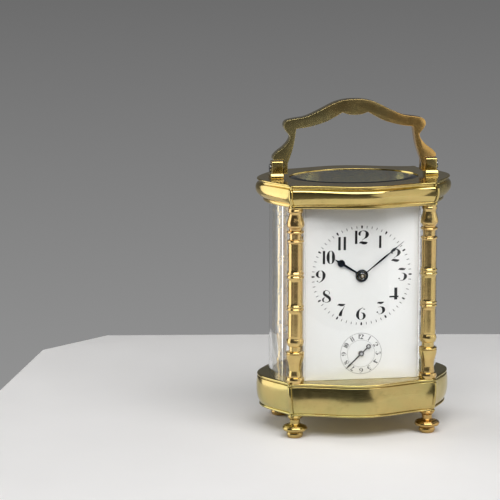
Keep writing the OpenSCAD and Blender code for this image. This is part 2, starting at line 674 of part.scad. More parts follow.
// ---- Motion work behind the dial ----
module cannon_pinion() {
  color(steel) {
    ring_y(centre, minute_hand_y[1], cannon_y[1], 1.5, arbor_r);
    along_y(centre, cannon_y[0], cannon_y[1]) difference() {
      gear(cannon_module, cannon_teeth, 0);
      circle(1.2);
    }
  }
}
module hour_wheel() {
  color(plate_brass) {
    ring_y(centre, hour_hand_y[0] - 0.1, hour_wheel_y[1], 2.3, 1.5 + run);
    along_y(centre, hour_wheel_y[0], hour_wheel_y[1]) difference() {
      gear(hour_module, hour_teeth, hour_phase);
      circle(2.2);
    }
  }
}
module minute_wheel() {
  color(plate_brass) {
    along_y(minute_pos, cannon_y[0], cannon_y[1]) difference() {
      crossed_gear(cannon_module, minute_teeth, minute_phase, 7.4, 2.4, 4, 1.2);
      circle(0.7 + run);
    }
    along_y(minute_pos, minute_pinion_y[0], cannon_y[0]) difference() {
      gear(hour_module, minute_pinion_teeth, 0);
      circle(0.7 + run);
    }
  }
}
module alarm_idler() {
  color(plate_brass) along_y(idler_pos, hour_wheel_y[0], hour_wheel_y[1]) difference() {
    crossed_gear(idler_module, idler_teeth, idler_phase, 6.4, 2, 4, 1.2);
    circle(0.7 + run);
  }
}
module alarm_wheel() {
  color(plate_brass) {
    along_y(alarm_centre, hour_wheel_y[0], hour_wheel_y[1]) difference() {
      crossed_gear(idler_module, hour_teeth, alarm_phase, 8, 2.2, 4, 1.2);
      circle(0.7 + run);
    }
    ring_y(alarm_centre, hour_wheel_y[1] - 0.1, -14.2, 1.6, 0.7 + run);
  }
}
module alarm_arbor() {
  color(steel) {
    rod_y(alarm_centre, hour_hand_y[0] - 0.3, back_plate_y + 0.4, 0.7);
    rod_y(alarm_centre, inner_y[0] + 0.3, inner_y[1] - 0.3, 1);
    along_y(alarm_centre, back_plate_y + 0.3, square_y1 - 2) square(1.4, center = true);
  }
}

// ---- Barrels and winding ----
// Drum with a cover and a toothed flange at its front end, hollow for the spring
module drum(pos, y0, y1, r, mod, teeth, phase, hole) {
  difference() {
    union() {
      rod_y(pos, y0, y1, r);
      along_y(pos, y0, y0 + barrel_flange) gear(mod, teeth, phase);
    }
    rod_y(pos, y0 + 1, y1 - 1, r - 0.8);
    rod_y(pos, y0 - 1, y1 + 1, hole + run);
  }
}
module going_barrel() {
  color(plate_brass)
    drum(barrel_pos, barrel_y[0], barrel_y[1], 14, barrel_module, barrel_teeth, barrel_phase, 1.5);
}
module mainspring() {
  turns = 5;
  steps = 22;
  spiral = [for (i = [0:turns * steps]) (3.4 + 9.2 * i / (turns * steps)) * toward(i * 360 / steps)];
  inner = [for (i = [turns * steps:-1:0]) (3 + 9.2 * i / (turns * steps)) * toward(i * 360 / steps)];
  color(blued) along_y(barrel_pos, barrel_y[0] + 1.4, barrel_y[1] - 1.4) polygon(concat(spiral, inner));
}
module winding_arbor() {
  color(steel) {
    rod_y(barrel_pos, front_plate_y + 0.3, inner_y[0] + 0.1, 1);
    rod_y(barrel_pos, inner_y[0], ratchet_y[0], 1.5);
    rod_y(barrel_pos, barrel_y[0] + 1.2, barrel_y[1] - 1.2, 2.6);
    along_y(barrel_pos, ratchet_y[0] - 0.1, square_y1) square(square_size, center = true);
  }
}
module ratchet_wheel() {
  color(steel) along_y(barrel_pos, ratchet_y[0], ratchet_y[1]) difference() {
    ratchet(5.4, 24, 0.7);
    square(square_size + 0.04, center = true);
  }
}
// A click's arm lies along its own +X from the pivot, the beak at its end
module click_arm(pivot, angle, len) {
  color(steel) {
    along_y(pivot, ratchet_y[0], ratchet_y[1]) rotate(angle) difference() {
      union() {
        circle(1.5);
        polygon([[0, -1.3], [len, -0.3], [len, 0.3], [0, 1.3]]);
      }
      circle(0.7 + run);
    }
  }
}
click_pos = barrel_pos + [-10.2, -3.5];
alarm_click_pos = alarm_barrel_pos + [-5.6, 6.4];
module click() {
  click_arm(click_pos, 40, 5.4);
}
module alarm_click() {
  click_arm(alarm_click_pos, -25, 4.2);
}
module click_springs() {
  color(steel) for (p = [click_pos, alarm_click_pos]) rod_y(p, back_plate_y, ratchet_y[1] + 0.3, 0.7);
  color(steel) {
    box(click_pos[0] - 3.2, click_pos[0] - 2.9, back_plate_y, ratchet_y[1],
      click_pos[1] - 6, click_pos[1] + 4);
    box(alarm_click_pos[0] - 4, alarm_click_pos[0] + 3, back_plate_y, ratchet_y[1],
      alarm_click_pos[1] + 2.4,
      alarm_click_pos[1] + 2.7);
  }
}
module alarm_barrel() {
  color(plate_brass)
    drum(alarm_barrel_pos, barrel_y[0], barrel_y[1], 7.8, alarm_module, alarm_teeth, 0, 1.5);
}
module alarm_winding_arbor() {
  color(steel) {
    rod_y(alarm_barrel_pos, front_plate_y + 0.3, inner_y[0] + 0.1, 1);
    rod_y(alarm_barrel_pos, inner_y[0], ratchet_y[0] + 0.1, 1.5);
    along_y(alarm_barrel_pos, ratchet_y[0], ratchet_y[1]) ratchet(4.2, 20, 0.6);
    along_y(alarm_barrel_pos, ratchet_y[1] - 0.1, square_y1) square(square_size, center = true);
  }
}

// ---- Alarm ----
module alarm_star() {
  color(steel) {
    rod_y(star_pos, front_plate_y + 0.3, back_plate_y - 0.3, pivot_r);
    rod_y(star_pos, inner_y[0] + 0.2, inner_y[1] - 0.2, 0.75);
    along_y(star_pos, barrel_y[0] - 0.4, barrel_y[0] + barrel_flange + 0.4)
      gear(alarm_module, star_pinion_teeth, star_pinion_phase);
    along_y(star_pos, star_y[0], star_y[1]) ratchet(4, star_teeth, 1.1);
  }
}
module hammer() {
  head_z = 16.6;
  nib_r = 5.3;
  color(steel) {
    rod_y(hammer_pos, front_plate_y + 0.3, back_plate_y - 0.3, pivot_r);
    rod_y(hammer_pos, inner_y[0] + 0.2, inner_y[1] - 0.2, 0.75);
    for (a = [-155, -25]) {
      nib = star_pos - hammer_pos + nib_r * toward(a);
      along_y(hammer_pos, star_y[0], star_y[1]) {
        translate(nib) circle(0.4);
        polygon([[-0.3, -0.5], [0.3, -0.5], nib + [0.35, 0], nib - [0.35, 0]]);
      }
    }
    rod_z([hammer_pos[0] + 0.2, (star_y[0] + star_y[1]) / 2], head_z, hammer_pos[1], 0.45);
  }
  color(brass) translate([hammer_pos[0] - 1.5, (star_y[0] + star_y[1]) / 2, head_z]) rotate([0, 90, 0])
    cylinder(h = 3.4, r = 1.6);
}
module bell() {
  post_r = 0.8;
  color(plate_brass) translate(bell_pos) rotate_extrude()
    polygon([[bell_r, bell_z[0]], [bell_r - 0.4, 17], [bell_r - 1.8, 19.6], [bell_r - 4.6, 21.3],
      [6, bell_z[1]], [post_r, bell_z[1]], [post_r, bell_z[1] - bell_wall], [6, bell_z[1] - bell_wall],
      [bell_r - 5, 21.3 - bell_wall], [bell_r - 2.6, 19.2], [bell_r - 1.3, 16.8],
      [bell_r - bell_wall, bell_z[0]]]);
  // Post from the floor plate, its shoulder under the bell and its nut on top
  color(steel) translate(bell_pos) rotate_extrude()
    polygon([[0, plinth_z0], [post_r, plinth_z0], [post_r, plinth_z0 + floor_t], [1.7, plinth_z0 + floor_t],
      [1.7, bell_z[1] - bell_wall], [post_r, bell_z[1] - bell_wall], [post_r, bell_z[1]], [1.6, bell_z[1]],
      [1.6, bell_z[1] + 0.8], [0, bell_z[1] + 0.8]]);
}

// ---- Platform escapement ----
module platform() {
  color(plate_brass) difference() {
    union() {
      box(-19, 21, front_plate_y, back_plate_y, platform_z, platform_top);
      // Drop arm under the platform for the lower escape pivot
      box(escape_xy[0] - 1.3, escape_xy[0] + 1.3, escape_xy[1] - 0.9, escape_xy[1] + 3.2, 84.4, 85.2);
      box(escape_xy[0] - 1.3, escape_xy[0] + 1.3, escape_xy[1] + 2.1, escape_xy[1] + 3.2,
        84.5, platform_z + 0.2);
    }
    rod_z(escape_xy, 80, 86, 0.3 + run);
    rod_z(escape_xy, 87, 95, 1.7);
    rod_z(lever_xy, 87, 95, 0.3 + run);
    rod_z(balance_xy, 87, 95, 0.35 + run);
  }
}
module escape_bridge() {
  post = [18.8, staff_y];
  color(brass) difference() {
    union() {
      rod_z(post, platform_top, bridge_z[1], 1.4);
      translate([0, 0, bridge_z[0]]) linear_extrude(bridge_z[1] - bridge_z[0]) {
        translate(lever_xy) circle(1);
        polygon([lever_xy + [0, -0.9], post + [0, -1.4], post + [0, 1.4], lever_xy + [0, 0.9]]);
      }
    }
    rod_z(escape_xy, 91, 95, 0.3 + run);
    rod_z(lever_xy, 91, 95, 0.3 + run);
  }
}
module balance_cock() {
  color(brass) difference() {
    union() {
      box(-4.5, 4.5, 7.9, back_plate_y - 0.2, platform_top, cock_z[1]);
      translate([0, 0, cock_z[0]]) linear_extrude(cock_z[1] - cock_z[0]) {
        translate(balance_xy) circle(2.4);
        polygon([balance_xy + [-2.4, 0], balance_xy + [2.4, 0], [4.5, 8], [-4.5, 8]]);
      }
    }
    rod_z(balance_xy, cock_z[0] - 1, cock_z[1] + 1, 0.35 + run);
    for (x = [-2.6, 2.6]) rod_z([x, 9.8], cock_z[1] - 0.8, cock_z[1] + 1, 1.1);
  }
}
module regulator_index() {
  color(steel) translate([balance_xy[0], balance_xy[1], index_z[0]]) linear_extrude(index_z[1] - index_z[0])
    difference() {
      union() {
        circle(1.6);
        polygon([[-0.5, 0], [0.5, 0], [0.15, 8], [-0.15, 8]]);
        polygon([[-0.3, -3.4], [0.3, -3.4], [0.5, 0], [-0.5, 0]]);
      }
      circle(0.6);
    }
}
module balance_wheel() {
  color(steel) {
    rod_z(balance_xy, platform_z + 0.3, cock_z[1] - 0.2, 0.35);
    rod_z(balance_xy, platform_top + 0.4, cock_z[0] - 0.2, 0.6);
    rod_z(balance_xy, 92.2, 92.8, 1.3);
  }
  color(plate_brass) translate([balance_xy[0], balance_xy[1], balance_z[0]]) {
    linear_extrude(balance_z[1] - balance_z[0]) {
      difference() {
        circle(balance_r, $fn = 96);
        circle(balance_r - 0.9, $fn = 96);
      }
      circle(1.4);
      for (a = [0, 90, 180, 270]) rotate(a + 20) translate([0, -0.35]) square([balance_r - 0.5, 0.7]);
    }
  }
}
module hairspring() {
  turns = 4;
  steps = 24;
  function coil(r, i) = (r + 3 * i / (turns * steps)) * toward(i * 360 / steps);
  outer = [for (i = [0:turns * steps]) coil(1.25, i)];
  inner = [for (i = [turns * steps:-1:0]) coil(1.1, i)];
  color(blued) translate([balance_xy[0], balance_xy[1], spring_z[0]])
    linear_extrude(spring_z[1] - spring_z[0]) {
    polygon(concat(outer, inner));
    difference() {
      circle(1.2);
      circle(0.6);
    }
  }
}
module pallet_lever() {
  pallet_r = 4.75;
  color(steel) {
    rod_z(lever_xy, platform_z + 0.3, bridge_z[1] - 0.1, 0.3);
    translate([lever_xy[0], lever_xy[1], lever_z[0]]) linear_extrude(lever_z[1] - lever_z[0]) {
      circle(0.9);
      for (s = [-1, 1]) {
        pallet = escape_xy - lever_xy + pallet_r * toward(180 - s * 48);
        polygon([[0, -0.3 * s], pallet + [-0.3, 0], pallet + [0.3, 0], [0.6, 0.3 * s], [0, 0.6 * s]]);
      }
      polygon([[0, -0.45], [0, 0.45], [-4.6, 0.35], [-5.4, 0.9], [-5.7, 0.6], [-5.1, 0],
        [-5.7, -0.6], [-5.4, -0.9],
        [-4.6, -0.35]]);
    }
  }
}

base_plinth();
floor_plate();
foot(-1, -1);  // foot_front_left
foot(1, -1);  // foot_front_right
foot(-1, 1);  // foot_back_left
foot(1, 1);  // foot_back_right
pillar(-1, -1);  // pillar_front_left
pillar(1, -1);  // pillar_front_right
pillar(-1, 1);  // pillar_back_left
pillar(1, 1);  // pillar_back_right
cornice();
top_glass();
front_glass();
side_glass(-1);  // left_glass
side_glass(1);  // right_glass
dial();
handle_bracket(-1);  // handle_bracket_left
handle_bracket(1);  // handle_bracket_right
handle_screws();
handle();
door_frame();
door_glass();
door_pins();
door_knob();
front_plate();
back_plate();
plate_pillars();
plate_screws();
platform();
balance_cock();
escape_bridge();
regulator_index();
balance_wheel();
hairspring();
pallet_lever();
escape_wheel();
contrate_wheel();
third_wheel();
center_wheel();
cannon_pinion();
minute_hand();
hour_wheel();
hour_hand();
minute_wheel();
alarm_idler();
alarm_wheel();
alarm_arbor();
alarm_hand();
going_barrel();
mainspring();
winding_arbor();
ratchet_wheel();
click();
click_springs();
alarm_barrel();
alarm_winding_arbor();
alarm_click();
alarm_star();
hammer();
bell();
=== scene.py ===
"""Carriage clock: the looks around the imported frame.

Every length here is in millimetres; mesh_object() turns them into metres. Front is -Y, up is +Z.
"""

import json
import math

import bmesh
import bpy
from mathutils import Matrix, Vector


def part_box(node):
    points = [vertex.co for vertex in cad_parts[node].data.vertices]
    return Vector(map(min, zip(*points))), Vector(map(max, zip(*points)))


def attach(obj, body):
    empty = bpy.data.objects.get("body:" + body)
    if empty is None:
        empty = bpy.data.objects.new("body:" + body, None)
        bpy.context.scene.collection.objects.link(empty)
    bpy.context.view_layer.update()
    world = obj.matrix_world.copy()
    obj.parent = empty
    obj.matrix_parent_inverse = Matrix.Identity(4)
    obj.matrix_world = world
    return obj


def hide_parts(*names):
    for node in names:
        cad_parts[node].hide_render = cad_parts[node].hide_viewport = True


MM = 0.001
MERGE_DISTANCE = 1e-7
AXIS_RADIUS = 0.0005
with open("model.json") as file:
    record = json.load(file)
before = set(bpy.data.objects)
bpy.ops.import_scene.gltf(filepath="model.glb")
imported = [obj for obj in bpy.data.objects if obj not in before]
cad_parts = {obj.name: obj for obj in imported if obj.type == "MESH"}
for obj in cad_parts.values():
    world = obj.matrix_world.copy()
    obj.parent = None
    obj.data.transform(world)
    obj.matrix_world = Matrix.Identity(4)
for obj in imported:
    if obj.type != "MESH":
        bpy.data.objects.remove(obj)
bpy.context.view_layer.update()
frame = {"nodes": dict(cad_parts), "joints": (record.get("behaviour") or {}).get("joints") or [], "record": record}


# ---------------------------------------------------------------- helpers
def span(node):
    """Lowest and highest corner of a CAD node, in millimetres."""
    low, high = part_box(node)
    return low / MM, high / MM


def joint_height(name):
    return next(joint for joint in frame["joints"] if joint["name"] == name)["pos_m"][2] / MM


def toward(angle):
    """Unit vector at an angle in degrees."""
    return math.cos(math.radians(angle)), math.sin(math.radians(angle))


def spline(points, steps=8):
    """Catmull-Rom curve through points of any dimension."""
    last = len(points) - 1
    curve = []
    for i in range(last):
        a, b, c, d = (Vector(points[max(0, min(last, i + k))]) for k in (-1, 0, 1, 2))
        for j in range(steps):
            t = j / steps
            curve.append(0.5 * (2 * b + (c - a) * t + (2 * a - 5 * b + 4 * c - d) * t * t
                                + (3 * b - a - 3 * c + d) * t * t * t))
    return curve + [Vector(points[last])]


def mesh_object(name, verts, faces):
    """Object from points in millimetres."""
    mesh = bpy.data.meshes.new(name)
    mesh.from_pydata([Vector(v) * MM for v in verts], [], faces)
    obj = bpy.data.objects.new(name, mesh)
    bpy.context.scene.collection.objects.link(obj)
    return obj


def clean(obj, sharp_deg=32, flat_axes=""):
    """Outward normals, merged doubles, and smooth shading that stops at sharp edges and at large flat faces."""
    bm = bmesh.new()
    bm.from_mesh(obj.data)
    bmesh.ops.remove_doubles(bm, verts=bm.verts, dist=MERGE_DISTANCE)
    bmesh.ops.recalc_face_normals(bm, faces=bm.faces)
    bm.to_mesh(obj.data)
    bm.free()
    axes = [Vector(("X" == a, "Y" == a, "Z" == a)) for a in flat_axes]
    obj.data.polygons.foreach_set(
        "use_smooth", [not any(abs(face.normal.dot(a)) > 0.9999 for a in axes) for face in obj.data.polygons])
    obj.data.set_sharp_from_angle(angle=math.radians(sharp_deg))
    return obj


def dress(obj, material, body, slot, *nodes):
    """Material, body and the CAD nodes that the piece stands for; the record slot argument is not used."""
    obj.data.materials.clear()
    obj.data.materials.append(material)
    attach(obj, body)
    if nodes:
        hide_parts(*nodes)
    return obj


def loft(name, rings, cap=True):
    """Skin over rings of equal length, with end faces unless the last ring repeats the first."""
    n = len(rings[0])
    faces = [(k * n + i, k * n + (i + 1) % n, (k + 1) * n + (i + 1) % n, (k + 1) * n + i)
             for k in range(len(rings) - 1) for i in range(n)]
    if cap:
        faces += [tuple(range(n - 1, -1, -1)), tuple((len(rings) - 1) * n + i for i in range(n))]
    return mesh_object(name, [p for ring in rings for p in ring], faces)


def lathe(name, profile, steps=72, at=(0, 0), axis="Z"):
    """Turned solid from (radius, height) points; a ring where the last point is the first."""
    rings = []
    for radius, h in profile:
        r = max(radius, AXIS_RADIUS)
        ring = []
        for i in range(steps):
            c, s = toward(360 * i / steps)
            u, v = at[0] + r * c, at[1] + r * s
            ring.append({"Z": (u, v, h), "Y": (u, h, v), "X": (h, u, v)}[axis])
        rings.append(ring)
    return loft(name, rings, cap=profile[0] != profile[-1])


def cut(obj, *cutters):
    """Cuts the cutters out of obj and removes them."""
    for cutter in cutters:
        clean(cutter)
        modifier = obj.modifiers.new("cut", "BOOLEAN")
        modifier.operation = "DIFFERENCE"
        modifier.solver = "EXACT"
        modifier.object = cutter
    bpy.context.view_layer.update()
    evaluated = obj.evaluated_get(bpy.context.evaluated_depsgraph_get())
    mesh = bpy.data.meshes.new_from_object(evaluated)
    obj.modifiers.clear()
    obj.data = mesh
    for cutter in cutters:
        bpy.data.objects.remove(cutter)
    return obj


def join(name, *parts):
    """One object from several closed parts."""
    bm = bmesh.new()
    for part in parts:
        bm.from_mesh(part.data)
        bpy.data.objects.remove(part)
    mesh = bpy.data.meshes.new(name)
    bm.to_mesh(mesh)
    bm.free()
    obj = bpy.data.objects.new(name, mesh)
    bpy.context.scene.collection.objects.link(obj)
    return obj


def slab_z(name, outline, z0, z1):
    """Flat outline in X and Y, given thickness from z0 to z1."""
    return loft(name, [[(x, y, z) for x, y in outline] for z in (z0, z1)])


def slab_y(name, outline, y0, y1):
    """Flat outline in X and Z, given thickness from y0 to y1."""
    return loft(name, [[(x, y, z) for x, z in outline] for y in (y0, y1)])


def slab_x(name, outline, x0, x1):
    """Flat outline in Y and Z, given thickness from x0 to x1."""
    return loft(name, [[(x, y, z) for y, z in outline] for x in (x0, x1)])


def block(name, x0, x1, y0, y1, z0, z1):
    return slab_z(name, [(x0, y0), (x1, y0), (x1, y1), (x0, y1)], z0, z1)


def rod(r, h0, h1, steps, at, axis):
    """Plain round cutter."""
    return lathe("cutter", [(0, h0), (r, h0), (r, h1), (0, h1)], steps, at, axis)


def oval(name, half, levels, step):
    """Stack of ovals that are wider than the half sizes by the first number of each level."""
    circle = [toward(a) for a in range(0, 360, step)]
    return loft(name, [[((half.x + g) * c, (half.y + g) * s, z) for c, s in circle] for g, z in levels])


def mirror_x(obj):
    obj.data.transform(Matrix.Scale(-1, 4, (1, 0, 0)))


def bevelled(obj, width, segments=3, angle=40):
    """Rounds every edge sharper than angle."""
    bm = bmesh.new()
    bm.from_mesh(obj.data)
    bmesh.ops.remove_doubles(bm, verts=bm.verts, dist=MERGE_DISTANCE)
    bmesh.ops.recalc_face_normals(bm, faces=bm.faces)
    edges = [e for e in bm.edges if e.is_manifold and e.calc_face_angle(0) > math.radians(angle)]
    bmesh.ops.bevel(bm, geom=edges, offset=width * MM, segments=segments, profile=0.5,
                    affect="EDGES", clamp_overlap=True)
    bm.to_mesh(obj.data)
    bm.free()
    return obj


# ---------------------------------------------------------------- materials
# Reach and strength of the painted side-to-side light on a metal
PAINTED_DRIFT_HALF, PAINTED_DRIFT_STRENGTH = 0.03, 0.22


def material(name):
    mat = bpy.data.materials.new(name)
    mat.use_nodes = True
    tree = mat.node_tree
    return mat, tree, tree.nodes["Principled BSDF"]


def node(tree, kind, **values):
    """New shader node; each value goes to the input of that name, or else to the setting."""
    made = tree.nodes.new(kind)
    for key, value in values.items():
        key = key.replace("_", " ")
        if key in made.inputs:
            made.inputs[key].default_value = value
        else:
            setattr(made, key.replace(" ", "_"), value)
    return made


def object_noise(tree, scale, detail=4.0, stretch=(1, 1, 1), rough=0.55):
    """Noise in object space; scale is in cycles per metre."""
    place = node(tree, "ShaderNodeTexCoord")
    mapping = node(tree, "ShaderNodeMapping")
    mapping.inputs["Scale"].default_value = stretch
    texture = node(tree, "ShaderNodeTexNoise", Scale=scale, Detail=detail, Roughness=rough)
    tree.links.new(place.outputs["Object"], mapping.inputs["Vector"])
    tree.links.new(mapping.outputs["Vector"], texture.inputs["Vector"])
    return texture.outputs["Fac"]


def ramp(tree, source, *stops):
    """Colours along source, from (position, colour) stops."""
    made = tree.nodes.new("ShaderNodeValToRGB")
    elements = made.color_ramp.elements
    while len(elements) < len(stops):
        elements.new(0.5)
    for element, (position, colour) in zip(elements, stops):
        element.position = position
        element.color = (*colour, 1)
    tree.links.new(source, made.inputs["Fac"])
    return made.outputs["Color"]


def blend_colour(tree, factor, a, b):
    """From a to b as factor goes from 0 to 1; each is an output or, for b, a plain colour."""
    made = tree.nodes.new("ShaderNodeMix")
    made.data_type = "RGBA"
    tree.links.new(factor, made.inputs[0])
    tree.links.new(a, made.inputs[6])
    if isinstance(b, tuple):
        made.inputs[7].default_value = (*b, 1)
    else:
        tree.links.new(b, made.inputs[7])
    return made.outputs[2]


def remap(tree, source, low, high, to_low=0.0, to_high=1.0):
    made = tree.nodes.new("ShaderNodeMapRange")
    for i, value in enumerate((low, high, to_low, to_high), 1):
        made.inputs[i].default_value = value
    tree.links.new(source, made.inputs[0])
    return made.outputs[0]


def drift_along_x(tree, source, middle):
    """Adds a slow drift from low on the left to high on the right of middle, in metres: painted light, one side of
    a piece toned unlike the other.
    """
    place = tree.nodes.new("ShaderNodeTexCoord")
    parts = tree.nodes.new("ShaderNodeSeparateXYZ")
    tree.links.new(place.outputs["Object"], parts.inputs[0])
    painted_drift = remap(tree, parts.outputs["X"], middle - PAINTED_DRIFT_HALF, middle + PAINTED_DRIFT_HALF,
                  -PAINTED_DRIFT_STRENGTH, PAINTED_DRIFT_STRENGTH)
    total = node(tree, "ShaderNodeMath", operation="ADD")
    tree.links.new(source, total.inputs[0])
    tree.links.new(painted_drift, total.inputs[1])
    return total.outputs[0]


def grey(v):
    """Neutral colour, also used to carry one number through a ramp."""
    return (v, v, v)


def metal(name, main, second, tarnish, tarnish_share=0.5, rough=(0.1, 0.24), grain=(1, 1, 1), bump=0.12,
          painted_light_split=None):
    """Aged polished metal: two close tones, tarnish in cloudy patches and specks, fine wear in the gloss, and,
    when a split X is given, painted light that shifts the tones from its left to its right.
    """
    mat, tree, shader = material(name)
    cloud = object_noise(tree, 38, 5, rough=0.6)
    if painted_light_split is not None:
        cloud = drift_along_x(tree, cloud, painted_light_split)
    tone = ramp(tree, cloud, (0.36, main), (0.64, second))
    patch = ramp(tree, object_noise(tree, 90, 7, rough=0.68), (0.5, grey(0)), (0.72, grey(tarnish_share)))
    speck_noise = object_noise(tree, 900, 3, rough=0.6)
    speck = ramp(tree, speck_noise, (0.62, grey(0)), (0.75, grey(tarnish_share * 0.6)))
    toned = blend_colour(tree, patch, tone, tarnish)
    toned = blend_colour(tree, speck, toned, tuple(c * 0.55 for c in tarnish))
    tree.links.new(toned, shader.inputs["Base Color"])
    shader.inputs["Metallic"].default_value = 1
    wear = object_noise(tree, 260, 8, stretch=grain, rough=0.7)
    gloss = ramp(tree, wear, (0.3, grey(rough[0])), (0.75, grey(rough[1])))
    tree.links.new(gloss, shader.inputs["Roughness"])
    relief = node(tree, "ShaderNodeBump", Strength=bump, Distance=0.0004)
    tree.links.new(object_noise(tree, 120, 4, rough=0.5), relief.inputs["Height"])
    scratch = node(tree, "ShaderNodeBump", Strength=bump * 0.35, Distance=0.00005)
    tree.links.new(object_noise(tree, 1800, 3, stretch=grain), scratch.inputs["Height"])
    tree.links.new(relief.outputs["Normal"], scratch.inputs["Normal"])
    tree.links.new(scratch.outputs["Normal"], shader.inputs["Normal"])
    return mat


def glass(name, tint, ior):
    """Clear glass that lets lamp light straight through."""
    mat, tree, shader = material(name)
    shader.inputs["Transmission Weight"].default_value = 1
    shader.inputs["IOR"].default_value = ior
    smear = ramp(tree, object_noise(tree, 55, 5), (0.45, grey(0)), (0.8, grey(0.03)))
    tree.links.new(smear, shader.inputs["Roughness"])
    lighter = tuple(min(1, c * 1.03) for c in tint)
    tinted = ramp(tree, object_noise(tree, 20, 2), (0.3, tint), (0.7, lighter))
    tree.links.new(tinted, shader.inputs["Base Color"])
    clear = tree.nodes.new("ShaderNodeBsdfTransparent")
    clear.inputs["Color"].default_value = (*tint, 1)
    path = tree.nodes.new("ShaderNodeLightPath")
    choose = tree.nodes.new("ShaderNodeMixShader")
    tree.links.new(path.outputs["Is Shadow Ray"], choose.inputs[0])
    tree.links.new(shader.outputs[0], choose.inputs[1])
    tree.links.new(clear.outputs[0], choose.inputs[2])
    tree.links.new(choose.outputs[0], tree.nodes["Material Output"].inputs["Surface"])
    return mat


def enamel(name):
    """Fired white enamel: near white with a faint warm cloud and a glassy coat."""
    mat, tree, shader = material(name)
    white = ramp(tree, object_noise(tree, 30, 4), (0.3, (0.73, 0.735, 0.73)), (0.7, (0.77, 0.765, 0.755)))
    tree.links.new(white, shader.inputs["Base Color"])
    tree.links.new(ramp(tree, object_noise(tree, 400, 3), (0.3, grey(0.2)), (0.7, grey(0.28))),
                   shader.inputs["Roughness"])
    shader.inputs["Coat Weight"].default_value = 0.5
    shader.inputs["Coat Roughness"].default_value = 0.05
    relief = node(tree, "ShaderNodeBump", Strength=0.05, Distance=0.0001)
    tree.links.new(object_noise(tree, 500, 2), relief.inputs["Height"])
    tree.links.new(relief.outputs["Normal"], shader.inputs["Normal"])
    return mat


def ink(name, colour):
    """Matt print."""
    mat, tree, shader = material(name)
    tree.links.new(ramp(tree, object_noise(tree, 900, 3), (0.4, colour), (0.7, tuple(c * 2.2 for c in colour))),
                   shader.inputs["Base Color"])
    shader.inputs["Roughness"].default_value = 0.6
    shader.inputs["Specular IOR Level"].default_value = 0.2
    return mat


brass = metal("case_brass", (0.56, 0.46, 0.16), (0.65, 0.48, 0.19), (0.42, 0.32, 0.12), 0.6)
# Darker copy of the case brass for the plinth: painted shade, the same brass as the cornice shown darker
plinth_brass_painted_shade = metal("plinth_brass_painted_shade", (0.48, 0.43, 0.17), (0.56, 0.43, 0.17), (0.36, 0.29, 0.1), 0.7)
turned_brass = metal("turned_brass", (0.64, 0.49, 0.19), (0.7, 0.47, 0.2), (0.46, 0.29, 0.12), 0.6,
                     (0.15, 0.27), (1, 1, 6))
foot_brass = metal("foot_brass", (0.48, 0.37, 0.13), (0.56, 0.36, 0.13), (0.3, 0.2, 0.08), 0.8, (0.12, 0.26))
# Handle brass: its tones shift from the left to the right of the split X, painted light on one side of the handle
handle_brass = metal("handle_brass", (0.56, 0.46, 0.2), (0.74, 0.46, 0.15), (0.40, 0.33, 0.19), 0.7,
                     (0.14, 0.28), painted_light_split=0.008)
movement_brass = metal("movement_brass", (0.78, 0.60, 0.26), (0.82, 0.62, 0.3), (0.6, 0.42, 0.2), 0.12,
                       (0.24, 0.32), (1, 1, 2), 0.03)
steel = metal("steel", (0.56, 0.57, 0.59), (0.62, 0.62, 0.63), (0.36, 0.34, 0.32), 0.4, (0.16, 0.3))
dark_steel = metal("dark_steel", (0.16, 0.165, 0.17), (0.2, 0.2, 0.2), (0.12, 0.11, 0.1), 0.4, (0.2, 0.32))
blued = metal("blued_steel", (0.014, 0.02, 0.03), (0.02, 0.03, 0.045), (0.02, 0.02, 0.02), 0.4, (0.16, 0.28))
spring_blue = metal("spring_blue", (0.05, 0.09, 0.22), (0.08, 0.12, 0.28), (0.03, 0.03, 0.05), 0.4, (0.2, 0.3))
case_glass = glass("case_glass", (0.985, 0.99, 0.985), 1.28)
side_glass = glass("side_glass", (0.94, 0.95, 0.945), 1.62)
top_glass = glass("top_glass", (0.66, 0.76, 0.77), 1.55)
dial_white = enamel("dial_enamel")
print_black = ink("dial_print", (0.006, 0.006, 0.007))
print_grey = ink("dial_fine_print", (0.05, 0.05, 0.053))

CAD_LOOKS = {
    "case_brass": brass, "movement_brass": movement_brass, "steel": steel, "blued_steel": spring_blue,
    "case_glass": case_glass, "top_glass": top_glass, "dial_enamel": dial_white,
}


def dress_cad_nodes():
    """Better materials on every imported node, by its slot in the record."""
    slots = {part["node"]: part["material_slot"] for part in frame["record"]["subparts"]}
    for name, obj in frame["nodes"].items():
        look = side_glass if name in ("left_glass", "right_glass") else CAD_LOOKS.get(slots.get(name), brass)
        for i in range(len(obj.material_slots)):
            obj.material_slots[i].material = look
        if not obj.material_slots:
            obj.data.materials.append(look)


# ---------------------------------------------------------------- case mouldings
CORNER_X = 34.5
FRONT_HALF = 33.2
SIDE_HALF = 24.2
RIB_R = 1.6
SIDE_POWER = 1.3
RIB_INSET = 0.9
NOMINAL_CORNER_Y = 26
FRONT_STEPS, SIDE_STEPS = 72, 44
PLINTH_LOW, PLINTH_HIGH = 10.4, 25.8
# Opening that the hammer's stem reaches the bell through: low and high X, low and high Y
HAMMER_SLOT = (11.2, 14.8, 3.8, 7.2)


